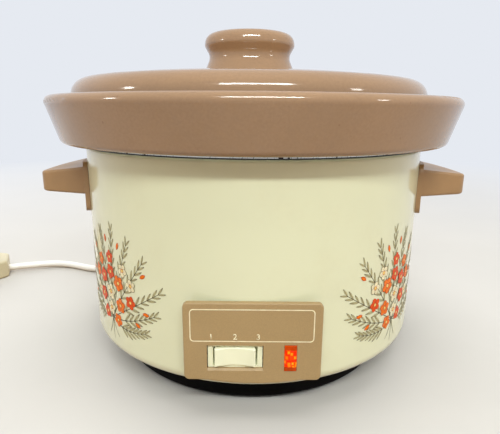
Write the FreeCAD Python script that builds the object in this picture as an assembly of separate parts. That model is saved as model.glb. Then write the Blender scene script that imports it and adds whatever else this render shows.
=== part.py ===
import FreeCAD, Part
import math
import os

from FreeCAD import Vector

# Slow cooker: a lidded stoneware crock that hangs by its rim in a heated metal casing.
# Millimetres, +Z up, front at -Y, origin on the table under the middle of the casing.

# Fits
SEAT_GAP = 0.1
PIN_CLEARANCE = 0.05
SCREW_CLEARANCE = 0.15
MOULDING_CLEARANCE = 0.2
STRAP_CLEARANCE = 0.3
TOUCH = 1e-6

# Feet and black base moulding
FOOT_HEIGHT = 5.0
FOOT_RADIUS = 10.0
FOOT_TAPER = 1.5
FOOT_INSET = 19.0
FOOT_COUNT = 4
BASE_CLEARANCE = 3.0
BASE_HEIGHT = 19.0
BASE_INSET = 18.0
BASE_DRAFT = 1.8
BASE_WALL = 2.5
BASE_ROUND = 1.6
BASE_INNER_ROUND = 0.5
BASE_FLOOR = 2.0
VENT_COUNT = 12
VENT_LENGTH = 22.0
VENT_WIDTH = 4.0
VENT_CIRCLE = 46.0

# Outer casing, a drawn sheet-metal drum
CASING_RADIUS = 120.0
CASING_HEIGHT = 130.5
CASING_WALL = 1.0
CASING_CORNER = 7.5
CASING_LIP = 7.0
CASING_LIP_ROUND = 2.4
CASING_FLOOR_WIDTH = 22.5

# Inner liner, heating element and its strap
LINER_SPACE = 10.0
LINER_WALL = 1.0
LINER_CORNER = 18.0
LINER_NECK_ROUND = 3.0
LINER_OVERHANG = 1.4
WIRING_SPACE = 31.0
ELEMENT_HEIGHT = 50.0
ELEMENT_THICKNESS = 2.4
ELEMENT_RISE = 26.0
ELEMENT_GAP = 14.0
STRAP_WIDTH = 9.0
STRAP_THICKNESS = 0.6
STRAP_GAP = 8.0
STRAP_EAR = 5.0
STRAP_EAR_THICKNESS = 1.2
STRAP_NUT_RADIUS = 2.1

# Stoneware crock
CROCK_CLEARANCE = 4.0
CROCK_WALL = 7.5
CROCK_FLOOR = 9.0
CROCK_FLOOR_GAP = 8.0
CROCK_TAPER = 3.0
CROCK_CORNER = 24.0
CROCK_INNER_CORNER = 18.0
RIM_OVERHANG = 15.2
RIM_FLARE = 9.4
RIM_HEIGHT = 30.9
RIM_FOOT_RISE = 1.4
RIM_WALL = 9.5
RIM_TOP_ROUND = 4.2
RIM_FOOT_ROUND = 4.0
SHELF_THICKNESS = 9.0
SHELF_ROUND = 3.0
MOUTH_ROUND = 6.0

# Stoneware lid with its knob in one piece; it lies loose in its seat, a little to the left
LID_SHIFT = 3.2
LID_CLEARANCE = 6.1
LID_WALL = 8.0
LID_SIDE = 31.8
LID_SIDE_TAPER = 2.8
LID_SHOULDER = 11.0
LID_FOOT_ROUND = 2.0
LID_BREAK_INSET = 39.8
LID_BREAK_RISE = 4.7
LID_CROWN_RISE = 7.0
LID_DOME_ROUND = 480.0
KNOB_ROOT_RADIUS = 33.4
KNOB_NECK_RADIUS = 28.4
KNOB_BULGE_RADIUS = 32.6
KNOB_TOP_RADIUS = 31.5
KNOB_CROWN_RADIUS = 16.0
KNOB_NECK_HEIGHT = 12.0
KNOB_BULGE_HEIGHT = 19.4
KNOB_TOP_HEIGHT = 26.9
KNOB_CROWN_HEIGHT = 28.9
KNOB_HEIGHT = 29.4
KNOB_NECK_ROUND = 7.0
KNOB_BULGE_ROUND = 3.5
KNOB_TOP_ROUND = 6.5
KNOB_CROWN_ROUND = 60.0

# Side handles
GRIP_BELOW_TOP = 23.7
GRIP_LENGTH = 84.0
GRIP_REACH = 24.8
GRIP_BOW = 6.5
GRIP_ROOT = 18.0
GRIP_ROOT_DEPTH = 24.0
GRIP_TIP = 12.6
GRIP_DROP = 0.8
GRIP_EDGE_ROUND = 1.8
GRIP_CORNER_ROUND = 5.0
GRIP_BOW_ROUND = 220.0
FINGER_GROOVE = 2.6
FINGER_GROOVE_RADIUS = 7.0
FINGER_GROOVE_INSET = 1.0
HANDLE_PLATE_LENGTH = 92.0
HANDLE_PLATE_HEIGHT = 34.0
HANDLE_PLATE_DROP = 4.4
HANDLE_PLATE_THICKNESS = 2.9
HANDLE_PLATE_CORNER = 6.0
HANDLE_SCREW_SPACING = 48.0
HANDLE_SCREW_DEPTH = 12.0

# Control panel on the front of the casing
PANEL_RISE = 8.1
PANEL_WIDTH = 76.0
PANEL_HEIGHT = 46.2
PANEL_THICKNESS = 2.8
PANEL_CORNER = 3.0
PANEL_EDGE_ROUND = 0.9
PANEL_SKIRT_INSET = 3.0
PANEL_SKIRT_WALL = 2.5
CHIN_WIDTH = 54.0
CHIN_DROP = 2.2
CHIN_END_ROUND = 6.0
PANEL_SCREW_SPACING = 56.0
PANEL_SCREW_RISE = 33.7
PANEL_BOSS_RADIUS = 3.6
PANEL_SCREW_BITE = 1.6

# Rocker switch and neon lamp, placed from the side and bottom edges of the panel
SWITCH_INSET = 28.4
SWITCH_RISE = 14.1
SWITCH_WIDTH = 31.0
SWITCH_HEIGHT = 14.2
SWITCH_SILL = 1.2
SWITCH_SILL_DEPTH = 0.8
BEZEL_SET_BACK = 1.6
BEZEL_DEPTH = 10.0
BEZEL_SLOT_WIDTH = 24.6
BEZEL_SLOT_HEIGHT = 11.3
BEZEL_BACK_WALL = 2.4
BEZEL_END_GAP = 0.4
ROCKER_LENGTH = 22.9
ROCKER_HEIGHT = 10.7
ROCKER_PIVOT_DEPTH = 3.4
ROCKER_STANDING = 3.6
ROCKER_HOLLOW = 2.7
ROCKER_BACK = 2.2
ROCKER_BACK_LENGTH = 19.0
ROCKER_ROUND = 0.6
PIVOT_RADIUS = 1.2
SWITCH_BODY_WIDTH = 26.0
SWITCH_BODY_HEIGHT = 12.2
SWITCH_BODY_DEPTH = 18.0
BLADE_WIDTH = 6.3
BLADE_THICKNESS = 0.8
BLADE_LENGTH = 8.0
BLADE_COUNT = 3
BLADE_PITCH = 8.5
NEON_INSET = 17.1
NEON_RISE = 13.8
NEON_WIDTH = 7.0
NEON_HEIGHT = 15.7
NEON_STANDING = 1.2
NEON_EDGE_ROUND = 0.4
NEON_WINDOW_INSET = 0.5
NEON_WINDOW_END = 2.6
NEON_WINDOW_STANDING = 0.5
NEON_DEPTH = 12.0
NEON_WALL = 1.2
NEON_FACE = 2.0
LAMP_RADIUS = 1.9
LAMP_END_ROUND = 1.5
CLIP_THICKNESS = 1.2
CLIP_MARGIN = 2.4
CLIP_END_MARGIN = 1.2
CLIP_SLOT = 2.1
WINDOW_MARGIN = 2.6
WINDOW_ROUND = 2.0

# Screws, studs and nuts
HANDLE_SCREW_RADIUS = 2.0
SMALL_SCREW_RADIUS = 1.5
SCREW_HEAD_RATIO = 2.0
SCREW_HEAD_HEIGHT = 2.2
SCREW_HEAD_ROUND = 0.9
FOOT_SCREW_REACH = 5.0
FOOT_BOSS_WALL = 3.0
STUD_RADIUS = 2.5
STUD_PLATE_RADIUS = 12.0
STUD_PLATE_THICKNESS = 2.0
NUT_FLATS = 8.0
NUT_HEIGHT = 3.5
STUD_BELOW_BASE = 4.5
SMALL_NUT_FLATS = 5.6
SMALL_NUT_HEIGHT = 2.4
SMALL_STUD_LENGTH = 3.5

# Thermostat, terminal block and wiring in the space under the liner
THERMOSTAT_X = 40.0
THERMOSTAT_Y = 14.0
THERMOSTAT_RADIUS = 8.0
THERMOSTAT_DEPTH = 11.0
THERMOSTAT_TAB_LENGTH = 30.0
THERMOSTAT_TAB_WIDTH = 9.0
THERMOSTAT_TAB_THICKNESS = 1.0
THERMOSTAT_STUD_SPACING = 23.0
BLOCK_LENGTH = 34.0
BLOCK_WIDTH = 17.0
BLOCK_HEIGHT = 14.0
BLOCK_INSET = 30.0
BLOCK_WAYS = 3
BLOCK_PITCH = 10.0
BLOCK_SCREW_RADIUS = 2.2
WIRE_RADIUS = 1.2
CORE_PITCH = 2.8
CORE_STRAIGHT = 4.0
EARTH_WIRE_STRAIGHT = 15.0
EARTH_WIRE_RISE = 18.0
RISER_ANGLE = 30.0
RISER_DIP = 9.0
RISER_SWEEP = 8.0
LEAD_STRAIGHT = 11.2
EARTH_X = -34.0
EARTH_Y = 10.0

# Mains lead: gland on the back of the base, lead, tied coil, tail and plug
CORD_RADIUS = 3.5
GLAND_RISE = 6.0
GLAND_NECK_RADIUS = 4.6
GLAND_FLANGE_RADIUS = 5.8
GLAND_FLANGE = 2.0
GLAND_LOCK = 0.7
GLAND_TAIL = 25.0
GLAND_TAIL_RADIUS = 5.2
GLAND_TIP_RADIUS = 4.3
GLAND_PAD_WIDTH = 19.0
GLAND_PAD_DEPTH = 1.6
LEAD_POINTS = [(0, 130.7, 13.0), (0, 148, 13.0), (0, 168, 4.6), (0, 185, 4.6)]
COIL_CENTRE_X = -44.0
COIL_CENTRE_Y = 192.0
COIL_RADIUS = 44.0
COIL_TURNS = 2.5
COIL_PITCH = 8.0
COIL_LAY = 4.6
COIL_LAYER = 7.6
COIL_STEPS_PER_TURN = 4
TAIL_POINTS = [(-88, 185, 12.2), (-88, 166, 12.2), (-97, 147, 8.2), (-115, 133, 4.0), (-165, 114, 3.6),
               (-216.2, 140.7, 3.6), (-254.3, 122.9, 6.0), (-267, 117, 6.0)]
TIE_THICKNESS = 0.6
TIE_WIDTH = 6.0
TIE_CLEARANCE = 0.35
PLUG_LENGTH = 47.0
PLUG_WIDTH = 50.0
PLUG_CORD_WIDTH = 27.0
PLUG_SHOULDER = 15.0
PLUG_CORNER = 7.0
PLUG_COVER = 9.5
PLUG_BASE = 9.0
PLUG_EDGE_ROUND = 2.5
PIN_SPACING = 22.2
PIN_INSET = 16.0
PIN_THICKNESS = 4.0
PIN_WIDTH = 6.35
EARTH_PIN_WIDTH = 8.0
PIN_LENGTH = 17.7
EARTH_PIN_LENGTH = 22.7
PIN_ROOT = 6.0
PLUG_SCREW_INSET = 26.0
PLUG_SCREW_SINK = 2.6

# Levels and radii that follow from the driving dimensions
base_radius = CASING_RADIUS - BASE_INSET
base_floor_top = FOOT_HEIGHT + BASE_FLOOR
casing_low = BASE_CLEARANCE + BASE_HEIGHT
casing_top = casing_low + CASING_HEIGHT
casing_inner = CASING_RADIUS - CASING_WALL
liner_outer = casing_inner - LINER_SPACE
liner_inner = liner_outer - LINER_WALL
liner_under = casing_low + WIRING_SPACE
liner_floor = liner_under + LINER_WALL
flange_top = casing_top + LINER_WALL
element_outer = liner_outer + SEAT_GAP + ELEMENT_THICKNESS
strap_inner = element_outer + STRAP_CLEARANCE
crock_outer = liner_inner - CROCK_CLEARANCE
crock_inner = crock_outer - CROCK_WALL
crock_low = liner_floor + CROCK_FLOOR_GAP
flange_radius = CASING_RADIUS + LINER_OVERHANG
rim_low = flange_top + SEAT_GAP
rim_foot = rim_low + RIM_FOOT_RISE
rim_top = rim_low + RIM_HEIGHT
rim_foot_radius = CASING_RADIUS + RIM_OVERHANG
rim_top_radius = rim_foot_radius + RIM_FLARE
shelf_level = rim_low + SHELF_THICKNESS
shelf_share = (shelf_level - rim_foot) / (rim_top - rim_foot)
collar_radius = rim_foot_radius + RIM_FLARE * shelf_share - RIM_WALL
lid_low = shelf_level + SEAT_GAP
lid_foot_radius = collar_radius - LID_CLEARANCE
lid_radius = lid_foot_radius + LID_SIDE_TAPER
lid_shoulder = lid_low + LID_SIDE
lid_crown = lid_shoulder + LID_CROWN_RISE
grip_level = casing_top - GRIP_BELOW_TOP
seat_radius = CASING_RADIUS + SEAT_GAP
panel_back = -seat_radius
panel_face = panel_back - PANEL_THICKNESS
panel_low = casing_low + PANEL_RISE
panel_top = panel_low + PANEL_HEIGHT
switch_x = SWITCH_INSET - 0.5 * PANEL_WIDTH
switch_level = panel_low + SWITCH_RISE
neon_x = 0.5 * PANEL_WIDTH - NEON_INSET
neon_level = panel_low + NEON_RISE
bezel_front = panel_face + BEZEL_SET_BACK
bezel_back = bezel_front + BEZEL_DEPTH
pivot_y = bezel_front + ROCKER_PIVOT_DEPTH
switch_back = bezel_back + SEAT_GAP + SWITCH_BODY_DEPTH
gland_seat = base_radius + GLAND_PAD_DEPTH
block_y = base_radius - BLOCK_INSET
block_level = base_floor_top + SEAT_GAP + 0.5 * BLOCK_HEIGHT
foot_circle = base_radius - FOOT_INSET
gland_level = base_floor_top + GLAND_RISE
gland_inside = base_radius - BASE_DRAFT - BASE_WALL

Z_AXIS = Vector(0, 0, 1)

# Most of a side that its two rounded corners may take, and of a run that one bend of a wire may take
CORNER_SHARE = 0.98
BEND_SHARE = 0.45


# Outlines and basic solids

def in_section(radius, height):
    """Place a point of a turned profile."""
    return Vector(radius, 0, height)


def in_plan(x, y):
    """Place a point of a plan outline."""
    return Vector(x, y, 0)


def in_front(x, z):
    """Place a point of an outline that is seen from the front."""
    return Vector(x, 0, z)


def corner_cuts(points, rounds):
    """Length that each rounded corner takes from its two sides, limited so that neighbours fit."""
    count = len(points)
    cuts = []
    for i in range(count):
        to_last = (points[i - 1] - points[i]).normalize()
        to_next = (points[(i + 1) % count] - points[i]).normalize()
        half = 0.5 * to_last.getAngle(to_next)
        cuts.append(rounds[i] / math.tan(half) if rounds[i] else 0.0)
    for i in range(count):
        following = (i + 1) % count
        side = (points[following] - points[i]).Length
        both = cuts[i] + cuts[following]
        if both > CORNER_SHARE * side:
            cuts[i] *= CORNER_SHARE * side / both
            cuts[following] *= CORNER_SHARE * side / both
    return cuts


def tangent_arc(corner, to_last, to_next, cut):
    """Arc that rounds a corner, and its two ends."""
    start = corner + to_last * cut
    end = corner + to_next * cut
    half = 0.5 * to_last.getAngle(to_next)
    radius = cut * math.tan(half)
    inward = (to_last + to_next).normalize()
    middle = corner + inward * (radius / math.sin(half) - radius)
    return Part.Arc(start, middle, end).toShape(), start, end


def outline(corners, place):
    """Closed wire through corners (u, v, round), each rounded by its own radius."""
    points = [place(u, v) for u, v, _ in corners]
    cuts = corner_cuts(points, [corner[2] for corner in corners])
    count = len(points)
    arcs = []
    ends = []
    for i, point in enumerate(points):
        if cuts[i]:
            to_last = (points[i - 1] - point).normalize()
            to_next = (points[(i + 1) % count] - point).normalize()
            arc, start, end = tangent_arc(point, to_last, to_next, cuts[i])
        else:
            arc, start, end = None, point, point
        arcs.append(arc)
        ends.append((start, end))
    edges = []
    for i in range(count):
        if arcs[i]:
            edges.append(arcs[i])
        line_start = ends[i][1]
        line_end = ends[(i + 1) % count][0]
        if (line_end - line_start).Length > TOUCH:
            edges.append(Part.LineSegment(line_start, line_end).toShape())
    return Part.Wire(edges)


def turned(corners, angle=360.0):
    """Solid of revolution about the Z axis from a closed profile of (radius, height, round)."""
    return Part.Face(outline(corners, in_section)).revolve(Vector(), Z_AXIS, angle)


def sheet_profile(path, wall):
    """Close an open path of (u, v, round) into a sheet whose thickness lies on the path's right."""
    flat = [Vector(u, v, 0) for u, v, _ in path]
    runs = [(flat[i + 1] - flat[i]).normalize() for i in range(len(flat) - 1)]
    rights = [Vector(run.y, -run.x, 0) * wall for run in runs]
    far_side = [(flat[0].x + rights[0].x, flat[0].y + rights[0].y, 0.0)]
    for i in range(1, len(flat) - 1):
        turn = runs[i - 1].cross(runs[i]).z
        share = 1.0 + runs[i - 1].dot(runs[i])
        corner = flat[i] + (rights[i - 1] + rights[i]) * (1.0 / share)
        rounding = path[i][2] + wall * math.copysign(1.0, turn)
        far_side.append((corner.x, corner.y, max(rounding, 0.0) if path[i][2] else 0.0))
    last = flat[-1] + rights[-1]
    far_side.append((last.x, last.y, 0.0))
    return path + far_side[::-1]


def box(x_range, y_range, z_range):
    """Box between limits on each axis."""
    corner = Vector(x_range[0], y_range[0], z_range[0])
    return Part.makeBox(x_range[1] - x_range[0], y_range[1] - y_range[0], z_range[1] - z_range[0], corner)


def around(middle, width):
    """Limits of a width about its middle."""
    return (middle - 0.5 * width, middle + 0.5 * width)


def cylinder(radius, start, end):
    """Cylinder between two points."""
    axis = end - start
    return Part.makeCylinder(radius, axis.Length, start, axis)


def upright(radius, x, y, low, high):
    """Cylinder that stands on a place in plan."""
    return cylinder(radius, Vector(x, y, low), Vector(x, y, high))


def casing_drum(radius):
    """Full-height cylinder about the cooker's axis, for trimming pieces to a round seat."""
    return upright(radius, 0, 0, -PANEL_HEIGHT, rim_top)


def front_plate(corners, y_front, y_back):
    """Plate with a front-view outline, between two depths."""
    wire = outline(corners, in_front)
    wire.translate(Vector(0, y_front, 0))
    return Part.Face(wire).extrude(Vector(0, y_back - y_front, 0))


def rounded_rectangle(u_range, v_range, rounding):
    """Corners of a rectangle with equal rounds."""
    return [(u_range[0], v_range[0], rounding), (u_range[1], v_range[0], rounding),
            (u_range[1], v_range[1], rounding), (u_range[0], v_range[1], rounding)]


def hexagon(flats, x, y, low, high):
    """Hexagonal nut body."""
    reach = flats / math.sqrt(3.0)
    points = []
    for i in range(6):
        angle = math.radians(60.0 * i)
        points.append(Vector(x + reach * math.cos(angle), y + reach * math.sin(angle), low))
    wire = Part.makePolygon(points + points[:1])
    return Part.Face(wire).extrude(Z_AXIS * (high - low))


def screw(radius, seat, tip):
    """Pan-head screw from the seat of its head to the tip of its shank."""
    direction = (tip - seat).normalize()
    head_radius = SCREW_HEAD_RATIO * radius
    head = cylinder(head_radius, seat - direction * SCREW_HEAD_HEIGHT, seat)
    rim = [edge for edge in head.Edges if abs((edge.CenterOfMass - seat).Length - SCREW_HEAD_HEIGHT) < TOUCH]
    head = head.makeFillet(SCREW_HEAD_ROUND, rim)
    return head.fuse(cylinder(radius, seat, tip)).removeSplitter()


def edges_where(shape, test):
    """Edges whose centre passes a test."""
    return [edge for edge in shape.Edges if test(edge.CenterOfMass)]


def depth_on_drum(radius, offset):
    """Distance from the axis plane to a drum's wall at a sideways offset."""
    return math.sqrt(radius ** 2 - offset ** 2)


# Tubes

def tube(path, radius):
    """Solid round tube along a wire of tangent lines and arcs."""
    first = path.OrderedEdges[0]
    start = path.OrderedVertexes[0].Point
    direction = first.tangentAt(first.FirstParameter)
    if (first.valueAt(first.FirstParameter) - start).Length > TOUCH:
        direction = first.tangentAt(first.LastParameter) * -1.0
    section = Part.Wire(Part.makeCircle(radius, start, direction))
    return path.makePipeShell([section], True, False)


def route(points):
    """Straight runs through points, joined by the largest even tangent arcs, and their radii."""
    points = [Vector(*point) for point in points]
    edges = []
    radii = []
    run_start = points[0]
    for i in range(1, len(points) - 1):
        to_last = points[i - 1] - points[i]
        to_next = points[i + 1] - points[i]
        cut = BEND_SHARE * min(to_last.Length, to_next.Length)
        to_last.normalize()
        to_next.normalize()
        arc, arc_start, arc_end = tangent_arc(points[i], to_last, to_next, cut)
        radii.append(cut * math.tan(0.5 * to_last.getAngle(to_next)))
        edges.append(Part.LineSegment(run_start, arc_start).toShape())
        edges.append(arc)
        run_start = arc_end
    edges.append(Part.LineSegment(run_start, points[-1]).toShape())
    return Part.Wire(edges), radii


def wire_through(points):
    """Insulated inner wire along a routed path."""
    return tube(route(points)[0], WIRE_RADIUS)


def arc_from_tangent(start, direction, end):
    """Arc between two points that leaves the first along a direction."""
    chord = end - start
    sideways = chord - direction * chord.dot(direction)
    if sideways.Length < TOUCH:
        return Part.LineSegment(start, end).toShape()
    inward = sideways.normalize()
    radius = chord.dot(chord) / (2.0 * chord.dot(inward))
    centre = start + inward * radius
    middle = centre + (start + chord * 0.5 - centre).normalize() * radius
    return Part.Arc(start, middle, end).toShape()


def biarc(start, start_direction, end, end_direction):
    """Two arcs that join two points and their directions."""
    chord = end - start
    both = start_direction + end_direction
    alike = 2.0 * (1.0 - start_direction.dot(end_direction))
    along = chord.dot(both)
    reach = (math.sqrt(along ** 2 + alike * chord.dot(chord)) - along) / alike
    joint = (start + start_direction * reach + end - end_direction * reach) * 0.5
    back = arc_from_tangent(end, end_direction * -1.0, joint)
    return [arc_from_tangent(start, start_direction, joint), back]


# Heated casing

def outer_casing():
    low_radius = CASING_RADIUS - CASING_CORNER - CASING_FLOOR_WIDTH
    path = [(CASING_RADIUS - CASING_LIP, casing_top, 0.0), (CASING_RADIUS, casing_top, CASING_LIP_ROUND),
            (CASING_RADIUS, casing_low, CASING_CORNER), (low_radius, casing_low, 0.0)]
    casing = turned(sheet_profile(path, CASING_WALL))
    cuts = [panel_window(), *handle_screw_holes(), *panel_screw_holes()]
    return casing.cut(Part.makeCompound(cuts))


def panel_window():
    """Opening behind the control panel for the switch and the lamp."""
    x_low = switch_x - 0.5 * SWITCH_WIDTH - WINDOW_MARGIN
    x_high = neon_x + 0.5 * NEON_WIDTH + CLIP_MARGIN + WINDOW_MARGIN
    half_height = 0.5 * NEON_HEIGHT + CLIP_END_MARGIN + MOULDING_CLEARANCE
    corners = rounded_rectangle((x_low, x_high), around(neon_level, 2 * half_height), WINDOW_ROUND)
    return front_plate(corners, panel_face, 0.5 * panel_back)


def inner_liner():
    path = [(0.0, liner_floor, 0.0), (liner_inner, liner_floor, LINER_CORNER),
            (liner_inner, flange_top, LINER_NECK_ROUND),
            (flange_radius, flange_top, 0.0)]
    return turned(sheet_profile(path, LINER_WALL))


def open_ring(inner, outer, low, height, gap):
    """Ring about the axis with a gap, in degrees, at the back."""
    ring = turned([(inner, low, 0.0), (outer, low, 0.0), (outer, low + height, 0.0),
                   (inner, low + height, 0.0)], 360.0 - gap)
    ring.rotate(Vector(), Z_AXIS, 90.0 + 0.5 * gap)
    return ring


def element_low():
    return liner_under + ELEMENT_RISE


def strap_low():
    return element_low() + 0.5 * (ELEMENT_HEIGHT - STRAP_WIDTH)


def heating_element():
    """Mica band with its heating wire, wrapped round the liner."""
    return open_ring(liner_outer + SEAT_GAP, element_outer, element_low(), ELEMENT_HEIGHT, ELEMENT_GAP)


def strap_ear_x():
    return strap_inner * math.sin(math.radians(0.5 * STRAP_GAP))


def element_strap():
    """Steel strap that holds the element, with two ears turned out at the back."""
    strap = open_ring(strap_inner, strap_inner + STRAP_THICKNESS, strap_low(), STRAP_WIDTH, STRAP_GAP)
    ear_y = (strap_inner * math.cos(math.radians(0.5 * STRAP_GAP)), strap_inner + STRAP_EAR)
    for side in (-1, 1):
        edge = side * strap_ear_x()
        ear_x = sorted((edge, edge + side * STRAP_EAR_THICKNESS))
        strap = strap.fuse(box(ear_x, ear_y, (strap_low(), strap_low() + STRAP_WIDTH)))
    level = strap_low() + 0.5 * STRAP_WIDTH
    reach = strap_ear_x() + 2 * STRAP_EAR_THICKNESS
    hole_y = strap_inner + 0.5 * STRAP_EAR
    hole = cylinder(SMALL_SCREW_RADIUS + SCREW_CLEARANCE, Vector(-reach, hole_y, level),
                    Vector(reach, hole_y, level))
    return strap.cut(hole).removeSplitter()


def strap_screw():
    """Screw and nut that draw the strap's ears together."""
    level = strap_low() + 0.5 * STRAP_WIDTH
    y = strap_inner + 0.5 * STRAP_EAR
    seat = strap_ear_x() + STRAP_EAR_THICKNESS + SEAT_GAP
    head = cylinder(STRAP_NUT_RADIUS, Vector(seat, y, level),
                    Vector(seat + SCREW_HEAD_HEIGHT, y, level))
    nut = cylinder(STRAP_NUT_RADIUS, Vector(-seat - SCREW_HEAD_HEIGHT, y, level),
                   Vector(-seat, y, level))
    shank = cylinder(SMALL_SCREW_RADIUS, Vector(-seat, y, level), Vector(seat, y, level))
    return head.fuse([nut, shank]).removeSplitter()


# Crock and lid

def crock():
    return turned([
        (0.0, crock_low + CROCK_FLOOR, 0.0),
        (crock_inner - CROCK_TAPER, crock_low + CROCK_FLOOR, CROCK_INNER_CORNER),
        (crock_inner, shelf_level, MOUTH_ROUND),
        (collar_radius, shelf_level, SHELF_ROUND),
        (rim_top_radius - RIM_WALL, rim_top, RIM_TOP_ROUND),
        (rim_top_radius, rim_top, RIM_TOP_ROUND),
        (rim_foot_radius, rim_foot, RIM_FOOT_ROUND),
        (flange_radius, rim_low, 0.0),
        (crock_outer, rim_low, 0.0),
        (crock_outer - CROCK_TAPER, crock_low, CROCK_CORNER),
        (0.0, crock_low, 0.0)])


def lid():
    break_radius = lid_radius - LID_BREAK_INSET
    break_level = lid_shoulder + LID_BREAK_RISE
    inner_round = LID_SHOULDER - 0.5 * LID_WALL
    body = turned([
        (0.0, lid_crown - LID_WALL, 0.0),
        (break_radius, break_level - LID_WALL, LID_DOME_ROUND),
        (lid_radius - LID_WALL, lid_shoulder - LID_WALL, inner_round),
        (lid_foot_radius - LID_WALL, lid_low, LID_FOOT_ROUND),
        (lid_foot_radius, lid_low, LID_FOOT_ROUND),
        (lid_radius, lid_shoulder, LID_SHOULDER),
        (break_radius, break_level, LID_DOME_ROUND),
        (KNOB_ROOT_RADIUS, lid_crown, LID_FOOT_ROUND),
        (KNOB_NECK_RADIUS, lid_crown + KNOB_NECK_HEIGHT, KNOB_NECK_ROUND),
        (KNOB_BULGE_RADIUS, lid_crown + KNOB_BULGE_HEIGHT, KNOB_BULGE_ROUND),
        (KNOB_TOP_RADIUS, lid_crown + KNOB_TOP_HEIGHT, KNOB_TOP_ROUND),
        (KNOB_CROWN_RADIUS, lid_crown + KNOB_CROWN_HEIGHT, KNOB_CROWN_ROUND),
        (0.0, lid_crown + KNOB_HEIGHT, 0.0)])
    body.translate(Vector(-LID_SHIFT, 0, 0))
    return body


# Handles

def handle_screw_places():
    return [(side, y) for side in (-1, 1) for y in around(0.0, HANDLE_SCREW_SPACING)]


def handle_screw_seat(y):
    """Flat place for a screw head against the inside of the round casing."""
    return depth_on_drum(casing_inner, abs(y) + SCREW_HEAD_RATIO * HANDLE_SCREW_RADIUS) - SEAT_GAP


def handle_screw_holes():
    radius = HANDLE_SCREW_RADIUS + SCREW_CLEARANCE
    holes = []
    for side, y in handle_screw_places():
        inside = handle_screw_seat(y) - SCREW_HEAD_HEIGHT
        deep = CASING_RADIUS + HANDLE_SCREW_DEPTH + SCREW_CLEARANCE
        holes.append(cylinder(radius, Vector(side * inside, y, grip_level),
                              Vector(side * deep, y, grip_level)))
    return holes


def grip():
    """Right-hand grip: a wedge in section and a bowed bar in plan, hollowed below for the fingers."""
    root = CASING_RADIUS - GRIP_ROOT_DEPTH
    end = CASING_RADIUS + GRIP_REACH
    tip = end + GRIP_BOW
    half = 0.5 * GRIP_LENGTH
    spread = (GRIP_ROOT - GRIP_TIP) * 0.5 * (CASING_RADIUS - root) / (tip - CASING_RADIUS)
    tip_level = grip_level - GRIP_DROP
    section = [(root, grip_level - 0.5 * GRIP_ROOT - spread, 0.0),
               (tip, tip_level - 0.5 * GRIP_TIP, 0.0),
               (tip, tip_level + 0.5 * GRIP_TIP, 0.0),
               (root, grip_level + 0.5 * GRIP_ROOT + spread, 0.0)]
    wedge = front_plate(section, -half, half)
    plan = [(root, -half, 0.0), (end, -half, GRIP_CORNER_ROUND), (tip, 0.0, GRIP_BOW_ROUND),
            (end, half, GRIP_CORNER_ROUND), (root, half, 0.0)]
    bar = Part.Face(outline(plan, in_plan)).extrude(Z_AXIS * rim_top)
    body = wedge.common(bar)
    rims = [edge for edge in edges_where(body, lambda centre: centre.x > root + TOUCH)
            if edge.BoundBox.ZLength < max(edge.BoundBox.XLength, edge.BoundBox.YLength)]
    body = body.makeFillet(GRIP_EDGE_ROUND, rims)
    groove_x = CASING_RADIUS + HANDLE_PLATE_THICKNESS + FINGER_GROOVE_RADIUS + FINGER_GROOVE_INSET
    groove_z = grip_level - 0.5 * GRIP_ROOT - FINGER_GROOVE_RADIUS + FINGER_GROOVE
    reach = half - GRIP_CORNER_ROUND
    groove = cylinder(FINGER_GROOVE_RADIUS, Vector(groove_x, -reach, groove_z),
                      Vector(groove_x, reach, groove_z))
    return body.cut(groove)


def handle(side):
    plate_level = grip_level - HANDLE_PLATE_DROP
    corners = rounded_rectangle(around(0.0, HANDLE_PLATE_LENGTH), around(plate_level, HANDLE_PLATE_HEIGHT),
                                HANDLE_PLATE_CORNER)
    block = front_plate(corners, 0.0, -2.0 * CASING_RADIUS)
    block.rotate(Vector(), Z_AXIS, 90.0)
    plate = block.common(casing_drum(seat_radius + HANDLE_PLATE_THICKNESS))
    body = plate.fuse(grip()).cut(casing_drum(seat_radius))
    body = body.cut(Part.makeCompound(handle_screw_holes())).removeSplitter()
    if side < 0:
        body = body.mirror(Vector(), Vector(1, 0, 0))
    return body


def handle_screws():
    screws = []
    for side, y in handle_screw_places():
        seat = Vector(side * handle_screw_seat(y), y, grip_level)
        tip = Vector(side * (CASING_RADIUS + HANDLE_SCREW_DEPTH), y, grip_level)
        screws.append(screw(HANDLE_SCREW_RADIUS, seat, tip))
    return Part.makeCompound(screws)


# Control panel

def switch_range():
    return around(switch_x, SWITCH_WIDTH)


def switch_sill():
    """Sloping lower edge of the cut-out for the switch."""
    x_low, x_high = switch_range()
    low = switch_level - 0.5 * SWITCH_HEIGHT
    corners = [Vector(x_low, panel_face, low), Vector(x_low, panel_face, low - SWITCH_SILL),
               Vector(x_low, panel_face + SWITCH_SILL_DEPTH, low)]
    return Part.Face(Part.makePolygon(corners + corners[:1])).extrude(Vector(x_high - x_low, 0, 0))


def panel_outline():
    """Front view of the panel: a rectangle with a shallow bowed chin below."""
    half = 0.5 * PANEL_WIDTH
    half_chin = 0.5 * CHIN_WIDTH
    chin_round = (half_chin ** 2 + CHIN_DROP ** 2) / (2.0 * CHIN_DROP)
    return [(-half, panel_low, PANEL_CORNER), (-half_chin, panel_low, CHIN_END_ROUND),
            (0.0, panel_low - 2.0 * CHIN_DROP, chin_round),
            (half_chin, panel_low, CHIN_END_ROUND), (half, panel_low, PANEL_CORNER),
            (half, panel_top, PANEL_CORNER), (-half, panel_top, PANEL_CORNER)]


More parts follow.
